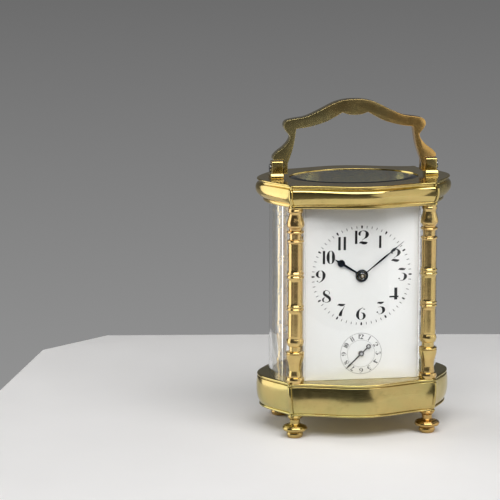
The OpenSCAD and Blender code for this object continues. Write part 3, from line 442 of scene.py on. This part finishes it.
def plan(z, corner_y, mid_y, side_x, cx):
    """Serpentine front and back, bowed sides and a small rib on each corner."""
    half = []
    for i in range(FRONT_STEPS + 1):
        t = 2 * i / FRONT_STEPS - 1
        half.append((t * FRONT_HALF * cx / CORNER_X,
                     -corner_y - (mid_y - corner_y) * (1 + math.cos(math.pi * t)) / 2))
    rib = [-80 + 10 * i for i in range(8)]
    for a in rib:
        c, s = toward(a)
        half.append((cx - RIB_INSET + RIB_R * c, RIB_INSET - corner_y + RIB_R * s))
    for i in range(SIDE_STEPS + 1):
        t = 2 * i / SIDE_STEPS - 1
        bulge = max(0.0, math.cos(math.pi * t / 2)) ** SIDE_POWER
        half.append((cx + (side_x - cx) * bulge, t * SIDE_HALF * corner_y / NOMINAL_CORNER_Y))
    for a in reversed(rib):
        c, s = toward(-a)
        half.append((cx - RIB_INSET + RIB_R * c, corner_y - RIB_INSET + RIB_R * s))
    return [(x, y, z) for x, y in half] + [(-x, -y, z) for x, y in half]


def moulding(name, *runs):
    """Loft over runs of (z, corner depth, middle depth, half width, corner x), each run smooth in itself."""
    rings = []
    for run in runs:
        stations = spline(run, 5) if len(run) > 2 else [Vector(p) for p in run]
        rings += [plan(*s) for s in stations]
    return loft(name, rings)


def build_plinth():
    """Low bottom fillet, full round face, groove and top bead; hollow from below."""
    z0, z1 = PLINTH_LOW, PLINTH_HIGH
    body = moulding(
        "plinth",
        [(z0, 24.9, 32.9, 43.9, 33.4), (z0 + 0.15, 25.2, 33.2, 44.1, 33.6), (z0 + 0.5, 25.3, 33.3, 44.2, 33.7),
         (z0 + 0.85, 25.2, 33.2, 44.1, 33.6), (z0 + 1, 24.9, 32.9, 43.9, 33.4)],
        [(z0 + 1.02, 24.8, 32.8, 43.8, 33.3), (11.75, 25.2, 33.1, 43.9, 33.4), (12.6, 25.55, 33.35, 44.3, 33.6),
         (13.8, 25.8, 33.52, 44.8, 33.8), (15.4, 25.9, 33.6, 45.2, 34.0), (17.4, 25.85, 33.55, 45.45, 34.2),
         (19.6, 25.65, 33.33, 45.5, 34.4), (21.6, 25.35, 33.03, 45.45, 34.5), (23, 25.1, 32.78, 45.3, 34.5),
         (23.9, 24.9, 32.6, 45.1, 34.4), (24.2, 24.6, 32.3, 44.8, 34.1)],
        [(24.22, 24.2, 31.9, 44.4, 33.7), (24.55, 24.2, 31.9, 44.4, 33.7)],
        [(24.57, 24.9, 32.7, 44.9, 34.2), (24.7, 25.25, 33.0, 45.15, 34.4), (25.1, 25.35, 33.1, 45.2, 34.5),
         (25.5, 25.2, 32.95, 45.1, 34.4), (25.7, 24.9, 32.65, 44.8, 34.2)],
        [(z1, 24.6, 32.3, 44.5, 34.0), (z1, 24.4, 32.1, 44.3, 33.8)])
    clean(body)
    low, high = span("floor_plate")
    room = block("cutter", -27, 27, -17.5, 17.5, z0 - 1, 23.3)
    plate_seat = block("cutter", low.x - 0.1, high.x + 0.1, low.y - 0.1, high.y + 0.1, z0 - 1, high.z)
    cut(body, room, plate_seat, block("cutter", *HAMMER_SLOT, 22, z1 + 1))
    clean(body)
    return dress(body, plinth_brass_painted_shade, "case", "case_brass", "base_plinth")


def build_cornice():
    """Fillet, full round face, groove and top fillet, with the seat and the opening of the top glass."""
    z0, z1 = span("cornice")[0].z, span("cornice")[1].z
    body = moulding(
        "cornice_moulding",
        [(z0, 25, 30.2, 42, 33.2), (z0 + 0.3, 25.4, 30.5, 42.3, 33.5), (107.9, 25.5, 30.6, 42.4, 33.6),
         (108.6, 25.4, 30.55, 42.4, 33.6), (108.8, 25.2, 30.4, 42.3, 33.5)],
        [(108.82, 25, 30.3, 42.3, 33.3), (109.05, 25, 30.4, 42.4, 33.3)],
        [(109.1, 25.2, 31.0, 42.9, 33.5), (109.6, 25.45, 31.9, 43.8, 33.8), (110.5, 25.7, 32.7, 44.8, 34.1),
         (111.8, 25.95, 33.3, 45.7, 34.4), (113.2, 26, 33.55, 46, 34.5), (114.4, 25.9, 33.45, 45.9, 34.5),
         (115.2, 25.7, 33.15, 45.6, 34.4), (115.7, 25.4, 32.75, 45.2, 34.2), (115.9, 25.1, 32.4, 44.9, 34.0)],
        [(115.95, 24.9, 32.1, 44.6, 33.6), (116.4, 24.6, 31.75, 44.3, 33.4), (116.9, 24.6, 31.75, 44.3, 33.4),
         (117.3, 24.9, 32.1, 44.6, 33.6)],
        [(117.34, 25.55, 33, 45.2, 34.3), (117.45, 25.7, 33.15, 45.35, 34.4), (117.7, 25.7, 33.15, 45.35, 34.4),
         (117.9, 25.55, 33.0, 45.2, 34.3), (z1 - 0.02, 25.35, 32.85, 45.0, 34.2)],
        [(z1, 25.1, 32.6, 44.8, 34.0), (z1, 24.9, 32.4, 44.6, 33.8)])
    clean(body)
    low, high = span("top_glass")
    half = (high - low) / 2
    seat_levels = [(0.1, low.z), (0.1, z1 - 0.2), (0.18, z1 - 0.06), (0.3, z1 + 0.02), (0.3, z1 + 1)]
    opening_levels = [(-1.8, z0 - 1), (-1.8, low.z + 0.5)]
    cut(body, oval("cutter", half, seat_levels, 4), oval("cutter", half, opening_levels, 4))
    clean(body)
    return dress(body, brass, "case", "case_brass", "cornice")


def build_top_glass():
    """Oval plate with a wide polished bevel."""
    low, high = span("top_glass")
    half = (high - low) / 2
    high.z = span("cornice")[1].z - 0.12
    levels = [(-0.05, low.z), (0, low.z + 0.05), (0, high.z - 0.55), (-0.12, high.z - 0.45),
              (-3.2, high.z - 0.04), (-3.5, high.z), (-3.7, high.z)]
    obj = clean(oval("bevelled_top_glass", half, levels, 3), 12)
    return dress(obj, top_glass, "case", "top_glass", "top_glass")


# ---------------------------------------------------------------- pillars and feet
TURNED_STEPS = 12


def turned_run(z0, z1, radius):
    """Points (radius, height) from z0 to z1, the radius given by a function of 0 to 1."""
    shares = [i / TURNED_STEPS for i in range(TURNED_STEPS + 1)]
    return [(radius(t), z0 + (z1 - z0) * t) for t in shares]


def bead(z0, z1, r0, r1):
    """Round bead that rises from r0 to r1 and falls back."""
    return turned_run(z0, z1, lambda t: r0 + (r1 - r0) * math.sin(math.pi * t))


def ease(z0, z1, r0, r1):
    """Soft change from r0 to r1."""
    return turned_run(z0, z1, lambda t: r0 + (r1 - r0) * (1 - math.cos(math.pi * t)) / 2)


PILLAR = ([(0, 25.8), (3.85, 25.8), (3.9, 25.85)] + bead(25.95, 28.4, 3.9, 4.25) + [(3.2, 28.6)]
          + ease(28.8, 31.8, 3.2, 2.9) + ease(32, 39.4, 2.95, 4.2) + bead(39.5, 40.4, 4, 4.2) + [(3.2, 40.6)]
          + ease(40.8, 42.9, 2.8, 2.8) + bead(43.1, 46.8, 3.4, 3.95) + ease(47, 59.3, 3.45, 3.35)
          + bead(59.5, 60.85, 3.5, 3.95) + bead(60.95, 62.3, 3.5, 3.95) + ease(62.5, 74.2, 3.4, 3.4)
          + bead(74.4, 76, 3.5, 3.95) + bead(76.1, 77.7, 3.5, 3.95) + ease(77.9, 91, 3.35, 3.4)
          + bead(91.2, 92.6, 3.4, 3.9) + [(2.9, 92.8)] + ease(93, 95.5, 2.8, 2.9) + bead(95.7, 96.8, 3.6, 3.95)
          + [(3, 97)] + ease(97.3, 99.4, 3.1, 4.1) + ease(99.6, 104.6, 4.1, 3) + bead(104.9, 106.7, 3.2, 3.5)
          + [(3.3, 107.2), (0, 107.2)])
FOOT = ([(0, 0), (3.1, 0), (3.4, 0.15)] + bead(0.3, 2.7, 3.45, 3.85) + [(3.0, 2.9), (3.0, 3.15), (5.1, 3.3)]
        + bead(3.4, 5.2, 5.45, 5.9) + ease(5.3, 6.5, 5.1, 2.7) + ease(6.6, 8.3, 2.3, 2.45)
        + ease(8.4, 9.3, 2.5, 3.3) + bead(9.4, 10.3, 3.3, 3.5) + [(3.2, 10.4), (0, 10.4)])


def build_turned_parts():
    for corner in ("front_left", "front_right", "back_left", "back_right"):
        low, high = span("pillar_" + corner)
        at = ((low.x + high.x) / 2, (low.y + high.y) / 2)
        pillar = clean(lathe("turned_pillar_" + corner, PILLAR, at=at), 50)
        dress(pillar, turned_brass, "case", "case_brass", "pillar_" + corner)
        foot = clean(lathe("turned_foot_" + corner, FOOT, at=at), 50)
        dress(foot, foot_brass, "case", "case_brass", "foot_" + corner)


# ---------------------------------------------------------------- handle
SHOULDER_Z = 126.6
HANDLE_TOP = span("handle")[1].z
PIVOT_Z = joint_height("handle_fold")
LEG_IN, LEG_OUT = 31.6, 33.3
EYE_DROP = 2.5
LEG_HOLE_R, BRACKET_HOLE_R = 1.15, 1.1
POST_X, FOOT_X = (33.7, 38.9), (33.5, 39.5)


def handle_outline():
    """Swept outline of the whole handle, from its right half."""
    outside = spline([(38.3, SHOULDER_Z), (38.1, 128.2), (36.3, 130.2), (33.4, 132.4), (31, 135.2),
                      (30.5, 137.4), (32.3, 139.8), (33.3, 142.1), (32.2, 144.4), (28.4, 145.4), (23.2, 146.2),
                      (17.4, 148.6), (9.4, 152.5), (4, HANDLE_TOP - 0.2), (0, HANDLE_TOP)], 8)
    middle = spline([(6, 148.1), (3.2, 147.1), (0, 146.8)], 8)
    arch = spline([(27.6, 140.9), (21, 141.8), (14, 143.8), (9.4, 146.1), (6, 148.1)], 8)
    leg = spline([(LEG_IN, PIVOT_Z + 2.2), (30.4, 128), (28.9, 133), (27.6, 140.9)], 8)
    eye_z = PIVOT_Z - EYE_DROP
    eye = [Vector(p) for p in ((LEG_IN, eye_z), (LEG_OUT, eye_z), (LEG_OUT, SHOULDER_Z))]
    right = middle[::-1] + arch[::-1][1:] + leg[::-1][1:] + eye + outside
    return [tuple(p) for p in right] + [(-p[0], p[1]) for p in right[-2:0:-1]]


def build_handle():
    """Shaped bar with eased edges and a hole in each leg."""
    low, high = span("handle")
    obj = slab_y("folding_handle", handle_outline(), low.y, high.y)
    bevelled(obj, 0.4, 3, 25)
    holes = [rod(LEG_HOLE_R, x0, x0 + 6, 32, (0, PIVOT_Z), "X") for x0 in (LEG_IN - 1.5, -LEG_OUT - 1.5)]
    cut(obj, *holes)
    clean(obj, 35, "Y")
    return dress(obj, handle_brass, "handle", "case_brass", "handle")


def both_sides(half):
    """Outline from its half at positive Y, listed upwards."""
    return half + [(-y, z) for y, z in half[::-1]]


def build_brackets():
    """Post with a softened top on a wider foot block, bored for the pivot screw."""
    base = span("cornice")[1].z
    top = span("handle_bracket_left")[1].z
    crown = [(2 + 0.75 * c, top - 0.9 + 0.9 * s) for c, s in (toward(a) for a in range(0, 91, 15))]
    post_half = [(2.75, base + 2), (2.75, top - 1)] + crown
    foot_half = [(3.6, base - 0.1), (3.6, base + 1.1), (3.0, base + 1.9), (2.7, base + 2.3)]
    for side, node_name in ((-1, "handle_bracket_left"), (1, "handle_bracket_right")):
        post = slab_x("post", both_sides(post_half), side * POST_X[0], side * POST_X[1])
        foot = slab_x("foot", both_sides(foot_half), side * FOOT_X[0], side * FOOT_X[1])
        obj = join(node_name + "_post", bevelled(post, 0.2, 3, 50), bevelled(foot, 0.25, 3, 30))
        bore = rod(BRACKET_HOLE_R, 30, 42, 32, (0, PIVOT_Z), "X")
        if side < 0:
            mirror_x(bore)
        cut(obj, bore)
        clean(obj, 35, "XY")
        dress(obj, brass, "case", "case_brass", node_name)


def build_handle_screws():
    """Slotted heads on the outside, the shanks through brackets and legs."""
    profile = [(0, 31.5), (1.0, 31.5), (1.1, 31.6), (1.1, 39), (1.75, 39), (1.9, 39.1), (1.9, 39.5),
               (1.7, 39.75), (0, 39.8)]
    for side, replaced in (("left", []), ("right", ["handle_screws"])):
        obj = lathe("handle_screw_" + side, profile, 40, (0, PIVOT_Z), "X")
        cut(clean(obj), block("cutter", 39.4, 40.5, -3, 3, PIVOT_Z - 0.22, PIVOT_Z + 0.22))
        if side == "left":
            mirror_x(obj)
        clean(obj, 35)
        dress(obj, dark_steel, "case", "steel", *replaced)


# ---------------------------------------------------------------- dial
DIAL_Y = span("dial")[0].y
CENTRE_Z = joint_height("center_turn")
ALARM_Z = joint_height("alarm_set")
PRINT_T = 0.04

# Each stroke of a numeral is a run of (x, y, width), y from 0 at the foot to 1 at the top
DIGITS = {
    "0": [[(0.3, 0.99, 0.03), (0.14, 0.86, 0.1), (0.08, 0.5, 0.15), (0.14, 0.14, 0.1), (0.3, 0.01, 0.03)],
          [(0.34, 0.99, 0.03), (0.5, 0.86, 0.1), (0.56, 0.5, 0.15), (0.5, 0.14, 0.1), (0.34, 0.01, 0.03)]],
    "1": [[(0.1, 0.0, 0.123), (0.1, 0.5, 0.123), (0.1, 1.0, 0.123)]],
    "2": [[(0.12, 0.62, 0.04), (0.06, 0.7, 0.11), (0.08, 0.86, 0.11), (0.24, 0.98, 0.04), (0.44, 0.92, 0.09),
           (0.53, 0.72, 0.16), (0.47, 0.52, 0.12), (0.34, 0.38, 0.05), (0.2, 0.26, 0.02)],
          [(0.04, 0.06, 0.06), (0.16, 0.1, 0.12), (0.32, 0.06, 0.14), (0.46, 0.06, 0.12), (0.56, 0.11, 0.04)]],
    "3": [[(0.06, 0.88, 0.03), (0.14, 0.93, 0.1), (0.3, 0.93, 0.12), (0.44, 0.92, 0.1), (0.54, 0.97, 0.04)],
          [(0.28, 0.6, 0.025), (0.42, 0.57, 0.07), (0.52, 0.42, 0.14), (0.52, 0.26, 0.15), (0.42, 0.08, 0.09),
           (0.28, 0.01, 0.04), (0.14, 0.05, 0.04)],
          [(0.09, 0.12, 0.05), (0.11, 0.17, 0.11), (0.12, 0.22, 0.05)]],
    "4": [[(0.42, 0.0, 0.15), (0.42, 0.5, 0.15), (0.42, 0.97, 0.15)],
          [(0.0, 0.24, 0.1), (0.3, 0.24, 0.1), (0.6, 0.24, 0.1)]],
    "5": [[(0.1, 0.88, 0.04), (0.18, 0.93, 0.1), (0.32, 0.91, 0.12), (0.46, 0.94, 0.1), (0.54, 0.99, 0.03)],
          [(0.16, 0.56, 0.025), (0.32, 0.6, 0.05), (0.48, 0.5, 0.13), (0.53, 0.32, 0.15), (0.46, 0.12, 0.1),
           (0.3, 0.01, 0.04), (0.16, 0.04, 0.04)],
          [(0.09, 0.12, 0.05), (0.11, 0.17, 0.11), (0.12, 0.22, 0.05)]],
    "6": [[(0.44, 0.98, 0.03), (0.24, 0.86, 0.07), (0.1, 0.62, 0.13), (0.07, 0.34, 0.15), (0.15, 0.1, 0.09),
           (0.28, 0.01, 0.03)],
          [(0.3, 0.58, 0.025), (0.46, 0.5, 0.1), (0.52, 0.3, 0.14), (0.45, 0.1, 0.09), (0.32, 0.01, 0.03)],
          [(0.48, 0.82, 0.05), (0.5, 0.86, 0.1), (0.51, 0.9, 0.05)]],
    "7": [[(0.04, 0.88, 0.04), (0.14, 0.94, 0.11), (0.3, 0.91, 0.13), (0.44, 0.92, 0.11), (0.56, 0.98, 0.03)],
          [(0.52, 0.84, 0.03), (0.42, 0.62, 0.05), (0.3, 0.36, 0.12), (0.24, 0.16, 0.15), (0.22, 0.02, 0.15)]],
    "8": [[(0.42, 0.93, 0.04), (0.28, 0.99, 0.04), (0.14, 0.88, 0.1), (0.14, 0.7, 0.13), (0.3, 0.54, 0.14),
           (0.48, 0.36, 0.14), (0.5, 0.14, 0.1), (0.3, 0.01, 0.04), (0.16, 0.06, 0.04)],
          [(0.42, 0.93, 0.04), (0.5, 0.78, 0.05), (0.42, 0.64, 0.03)],
          [(0.18, 0.46, 0.03), (0.06, 0.28, 0.1), (0.08, 0.12, 0.08), (0.16, 0.06, 0.04)]],
}
DIGITS["9"] = [[(0.6 - x, 1 - y, w) for x, y, w in stroke] for stroke in DIGITS["6"]]
# Widths of the numerals, and how far a pair is set apart, in heights
ADVANCE, ADVANCE_OTHERS = {"1": 0.34, "0": 0.56}, 0.78
STRETCH, STRETCH_OTHERS = {"1": 1, "0": 0.85}, 1.22
KERN = {"11": 0.06, "12": -0.06}


def ribbon(stroke, bold, hair, steps=6):
    """Outline of a stroke that swells and thins along its line."""
    curve = spline(stroke, steps)
    left, right = [], []
    for i, p in enumerate(curve):
        a, b = curve[max(0, i - 1)], curve[min(len(curve) - 1, i + 1)]
        run = Vector((b.x - a.x, b.y - a.y))
        side = Vector((-run.y, run.x)).normalized() * max(bold * max(p.z, 0) ** 1.5, hair) / 2
        left.append((p.x + side.x, p.y + side.y))
        right.append((p.x - side.x, p.y - side.y))
    return left, right


class Print:
    """Collects flat shapes as thin raised strips on the dial."""

    def __init__(self):
        self.verts, self.faces = [], []

    def strip(self, left, right, closed=False):
        """Strip between two runs of (x, z) points, a ring when closed."""
        n, base = len(left), len(self.verts)
        for y in (DIAL_Y - PRINT_T, DIAL_Y + 0.01):
            self.verts += [(x, y, z) for x, z in left] + [(x, y, z) for x, z in right]
        for i in range(n if closed else n - 1):
            a, b = base + i, base + (i + 1) % n
            c, d = b + n, a + n
            back = [v + 2 * n for v in (a, b, c, d)]
            self.faces += [(a, b, c, d), tuple(reversed(back))]
            self.faces += [(a, back[0], back[1], b), (d, c, back[2], back[3])]
        if not closed:
            for i in (0, n - 1):
                a, d = base + i, base + i + n
                self.faces.append((a, d, d + 2 * n, a + 2 * n))

    def numeral(self, text, at, height, turn=0.0, bold=4.2, hair=0.028):
        """Number centred at a point, turned clockwise; bold swells its strokes and hair is the thinnest."""
        widths = [ADVANCE.get(ch, ADVANCE_OTHERS) for ch in text]
        kern = KERN.get(text, 0)
        x0 = -(sum(widths) + kern) / 2
        c, s = toward(-turn)
        for ch, width in zip(text, widths):
            for stroke in DIGITS[ch]:
                stretched = [(x * STRETCH.get(ch, STRETCH_OTHERS), y, w) for x, y, w in stroke]
                sides = []
                for side in ribbon(stretched, bold, hair):
                    points = []
                    for x, y in side:
                        u, v = (x0 + x) * height, (y - 0.5) * height
                        points.append((at[0] + u * c - v * s, at[1] + u * s + v * c))
                    sides.append(points)
                self.strip(*sides)
            x0 += width + kern

    def ring(self, at, radius, width, steps=96):
        """Circle line of a width."""
        inner, outer = [], []
        for i in range(steps):
            c, s = toward(360 * i / steps)
            inner.append((at[0] + (radius - width / 2) * c, at[1] + (radius - width / 2) * s))
            outer.append((at[0] + (radius + width / 2) * c, at[1] + (radius + width / 2) * s))
        self.strip(outer, inner, closed=True)

    def mark(self, at, radius, angle, length, width, point=0.5):
        """Short mark along a radius, angle clockwise from the top, narrowing to its inner end."""
        c, s = toward(90 - angle)
        left, right = [], []
        for k, w in ((-0.5, point), (-0.2, 0.85), (0.2, 1), (0.5, 0.7)):
            r, half = radius + k * length, w * width / 2
            left.append((at[0] + r * c - half * s, at[1] + r * s + half * c))
            right.append((at[0] + r * c + half * s, at[1] + r * s - half * c))
        self.strip(left, right)

    def build(self, name, look):
        return dress(clean(mesh_object(name, self.verts, self.faces)), look, "case", "blued_steel")


# Distance of each hour's numeral from the centre, from 1 to 12
NUMERAL_R = (17.9, 18.3, 19, 17.7, 17.9, 17.9, 18.4, 18.6, 19, 17.8, 17.5, 17.9)
TRACK_R = 22.6
ALARM_NUMERAL_R = 8


def build_dial_print():
    """Hour numerals, minute track and alarm circle."""
    centre, alarm = (0, CENTRE_Z), (0, ALARM_Z)
    numerals, fine = Print(), Print()
    for hour in range(1, 13):
        c, s = toward(90 - 30 * hour)
        r = NUMERAL_R[hour - 1]
        numerals.numeral(str(hour), (r * c, CENTRE_Z + r * s), 6.2 if hour > 9 else 5.8)
        alarm_at = (ALARM_NUMERAL_R * c, ALARM_Z + ALARM_NUMERAL_R * s)
        fine.numeral(str(hour), alarm_at, 2.2, 30 * hour, 4.8, 0.085)
    for minute in range(60):
        if minute % 5:
            fine.mark(centre, TRACK_R, 6 * minute, 1.25, 0.32, 0.7)
        else:
            numerals.mark(centre, TRACK_R, 6 * minute, 1.5, 0.8, 0.35)
    fine.ring(alarm, 9.6, 0.13)
    fine.ring(alarm, 6.4, 0.09)
    numerals.build("dial_numerals", print_black)
    fine.build("dial_fine_marks", print_grey)


def build_dial():
    """Enamelled plate with softly rounded edges, and its holes for the arbors."""
    low, high = span("dial")
    obj = bevelled(block("dial_plate", low.x, high.x, DIAL_Y, DIAL_Y + 1, low.z - 0.28, high.z), 0.2, 3)
    cut(obj, *[rod(r, DIAL_Y - 1, DIAL_Y + 2, 48, (0, z), "Y") for r, z in ((2.7, CENTRE_Z), (1.3, ALARM_Z))])
    clean(obj, 40)
    dress(obj, dial_white, "case", "dial_enamel", "dial")
    profile = [(0, DIAL_Y + 0.9), (1, DIAL_Y + 0.9), (1, -13.6), (0.5, -13.5), (0.5, -11.5), (0, -11.5)]
    for i, at in enumerate([(-20, 33), (20, 33), (-20, 85), (20, 85)]):
        foot = clean(lathe(f"dial_foot_{i + 1}", profile, 24, at, "Y"))
        dress(foot, movement_brass, "case", "movement_brass")


# ---------------------------------------------------------------- hands
MINUTE_ANGLE, HOUR_ANGLE, ALARM_ANGLE = 51, -58, 226


def swing(obj, angle, centre_z, along=0.0):
    """Moves a shape up by along, turns it clockwise about Y and lifts it to the centre."""
    obj.data.transform(Matrix.Translation((0, 0, centre_z * MM)) @ Matrix.Rotation(math.radians(angle), 4, "Y")
                       @ Matrix.Translation((0, 0, along * MM)))
    return obj


def blade(name, half, angle, centre_z, y0, y1):
    """Hand blade from (half width, height) points, rounded front and back."""
    middle, depth = (y0 + y1) / 2, (y1 - y0) / 2
    section = [toward(a) for a in range(0, 360, 45)]
    rings = [[(w * c, middle + depth * s, h) for c, s in section] for w, h in half]
    return swing(loft(name, rings), angle, centre_z)


def build_minute_hand():
    low, high = span("minute_hand")
    y0, y1 = low.y, high.y
    swell = [(0.28, 1.5), (0.24, 4), (0.3, 7), (0.46, 11), (0.42, 14.5), (0.24, 17.2), (0.6, 18.4),
             (0.72, 18.9), (0.5, 19.6), (0.2, 20.8), (0.12, 23.5), (0.06, 24.95)]
    arm = blade("arm", [tuple(p) for p in spline(swell, 4)], MINUTE_ANGLE, CENTRE_Z, y0, y1)
    dome = lathe("dome", [(0, y0 - 0.12), (0.76, y0 - 0.12), (1.4, y0 - 0.1), (2, y0 + 0.02), (2.2, y0 + 0.14),
                          (2.2, y1), (0, y1)], 64, (0, CENTRE_Z), "Y")
    dress(clean(join("minute_hand_blade", arm, dome), 40), blued, "center", "blued_steel", "minute_hand")


def build_centre_pin():
    """Bright end of the centre arbor and the thin ring round it, on the minute hand's dome."""
    y0, tip_y = span("minute_hand")[0].y, span("center_wheel")[0].y
    pin = lathe("pin", [(0, tip_y - 0.12), (0.3, tip_y - 0.1), (0.5, tip_y), (0.56, tip_y + 0.15), (0.56, y0),
                        (0, y0)], 48, (0, CENTRE_Z), "Y")
    ring = lathe("ring", [(1.34, y0 - 0.1), (1.42, y0 - 0.16), (1.5, y0 - 0.1), (1.5, y0 + 0.1),
                          (1.34, y0 + 0.1), (1.34, y0 - 0.1)], 48, (0, CENTRE_Z), "Y")
    dress(clean(join("centre_pin_and_ring", pin, ring), 50), steel, "center", "steel")


def build_hour_hand():
    low, high = span("hour_hand")
    y0, y1 = low.y, high.y
    thin = (y0 + 0.02, y1 - 0.02)
    arm = blade("arm", [(0.4, 2), (0.45, 5), (0.58, 8.5), (0.62, 9.8)], HOUR_ANGLE, CENTRE_Z, *thin)
    moon = lathe("moon", [(0, y0 - 0.08), (0.8, y0 - 0.06), (1.4, y0 + 0.03), (1.7, y0 + 0.15), (1.55, y1),
                          (0, y1)], 48, (0, 0), "Y")
    swing(moon, HOUR_ANGLE, CENTRE_Z, 11.3)
    tip = blade("tip", [(0.8, 12.4), (0.6, 13), (0.3, 13.8), (0.05, 15.2)], HOUR_ANGLE, CENTRE_Z, *thin)
    boss = lathe("boss", [(2.35, y0 - 0.05), (2.6, y0 - 0.05), (2.82, y0 + 0.02), (2.9, y0 + 0.12), (2.85, y1),
                          (2.35, y1), (2.35, y0 - 0.05)], 64, (0, CENTRE_Z), "Y")
    dress(clean(join("hour_hand_blade", arm, moon, tip, boss), 40), blued, "hour", "blued_steel", "hour_hand")


def build_alarm_hand():
    low, high = span("alarm_hand")
    y0, y1 = low.y, high.y
    half = [(0.26, -3.9), (0.3, -1), (0.36, 1), (0.28, 6.3), (0.5, 7.4), (0.3, 8.4), (0.05, 10)]
    arm = blade("arm", half, ALARM_ANGLE, ALARM_Z, y0 + 0.02, y1 - 0.02)
    hub = lathe("hub", [(0, y0 - 0.1), (0.9, y0 - 0.08), (1.3, y0 + 0.08), (1.3, y1), (0, y1)],
                40, (0, ALARM_Z), "Y")
    tail = lathe("tail", [(0.68, y0), (0.88, y0 - 0.04), (1.12, y0 + 0.06), (1.12, y1), (0.68, y1), (0.68, y0)],
                 40, (0, 0), "Y")
    swing(tail, ALARM_ANGLE, ALARM_Z, -4.75)
    hand = clean(join("alarm_hand_blade", arm, hub, tail), 40)
    dress(hand, dark_steel, "alarm_setting", "steel", "alarm_hand")


# ---------------------------------------------------------------- stage
# Corners of the table top
TABLE = [(-275, -262), (900, -262), (900, 59), (16, 198.5), (-95, 213), (-133, 182)]


def build_floor():
    """Pale table: its back edge lies behind the clock and its front edge not far before it."""
    obj = bevelled(slab_z("floor", TABLE, -22, 0), 3, 3)
    clean(obj)
    mat, tree, shader = material("table")
    tree.links.new(ramp(tree, object_noise(tree, 8, 5), (0.3, (0.9, 0.89, 0.885)), (0.7, (0.93, 0.92, 0.915))),
                   shader.inputs["Base Color"])
    tree.links.new(ramp(tree, object_noise(tree, 60, 4), (0.3, grey(0.5)), (0.7, grey(0.6))),
                   shader.inputs["Roughness"])
    obj.data.materials.append(mat)


def build_world():
    """Grey studio: a lit backdrop behind, lighter low down, and a dark room in front of the clock."""
    world = bpy.data.worlds.new("studio")
    bpy.context.scene.world = world
    world.use_nodes = True
    tree = world.node_tree
    place = tree.nodes.new("ShaderNodeTexCoord")
    parts = tree.nodes.new("ShaderNodeSeparateXYZ")
    tree.links.new(place.outputs["Generated"], parts.inputs[0])
    height = remap(tree, parts.outputs["Z"], -0.25, 0.75)
    back = ramp(tree, height, (0.0, grey(0.3)), (0.045, grey(0.262)), (0.165, grey(0.15)),
                (0.42, grey(0.13)), (1.0, grey(0.06)))
    front = ramp(tree, height, (0.0, grey(0.16)), (0.17, grey(0.11)),
                 (0.26, grey(0.095)), (0.38, grey(0.06)), (0.55, grey(0.045)), (1.0, grey(0.085)))
    colour = blend_colour(tree, remap(tree, parts.outputs["Y"], -0.15, 0.25), front, back)
    tree.links.new(colour, tree.nodes["Background"].inputs["Color"])


def area_light(name, azimuth, distance, low_z, high_z, width, radiance, colour=(1, 1, 1)):
    """Upright soft panel standing round the clock at an azimuth from the front, + to the right."""
    light = bpy.data.lights.new(name, "AREA")
    light.shape = "RECTANGLE"
    light.size, light.size_y = width * MM, (high_z - low_z) * MM
    light.energy = radiance * math.pi * light.size * light.size_y
    light.color = colour
    obj = bpy.data.objects.new(name, light)
    a = math.radians(azimuth)
    obj.location = Vector((math.sin(a) * distance, -math.cos(a) * distance, (low_z + high_z) / 2)) * MM
    obj.rotation_euler = Vector((-math.sin(a), math.cos(a), 0)).to_track_quat("-Z", "Z").to_euler()
    obj.visible_camera = False
    bpy.context.scene.collection.objects.link(obj)
    return obj


WARM = (1, 0.99, 0.97)
TOP_PANEL_Z = 1130
CLOCK_MIDDLE_Z = 70


def build_lights():
    """Large softboxes to the right and left and a panel overhead, a little in front."""
    area_light("right_panel_front", 49, 1150, -300, 900, 900, 0.72, WARM)
    area_light("right_panel_back", 92, 1150, -300, 900, 900, 0.72, WARM)
    area_light("left_panel", -108, 900, -40, 700, 1500, 1.75, WARM)
    top = area_light("top_panel", 5, 780, 500, 1400, 1500, 4.15)
    top.location.z = TOP_PANEL_Z * MM
    aim = Vector((0, 0, CLOCK_MIDDLE_Z)) * MM
    top.rotation_euler = (aim - top.location).to_track_quat("-Z", "Z").to_euler()


CAMERA_AT = Vector((-233.8, -1171.0, 303.4))
CAMERA_YAW, CAMERA_PITCH = 8.98, 10.47
CAMERA_LENS = 187.2


def build_camera():
    camera = bpy.data.cameras.new("camera")
    camera.lens, camera.sensor_width = CAMERA_LENS, 36
    camera.clip_start, camera.clip_end = 0.05, 20
    obj = bpy.data.objects.new("camera", camera)
    obj.location = CAMERA_AT * MM
    obj.rotation_euler = (math.radians(90 - CAMERA_PITCH), 0, math.radians(-CAMERA_YAW))
    bpy.context.scene.collection.objects.link(obj)
    bpy.context.scene.camera = obj


build_camera()
build_world()
build_lights()
build_floor()
dress_cad_nodes()
build_plinth()
build_cornice()
build_top_glass()
build_turned_parts()
build_handle()
build_brackets()
build_handle_screws()
build_dial()
build_dial_print()
build_minute_hand()
build_centre_pin()
build_hour_hand()
build_alarm_hand()
bpy.context.scene.view_settings.view_transform = "Standard"
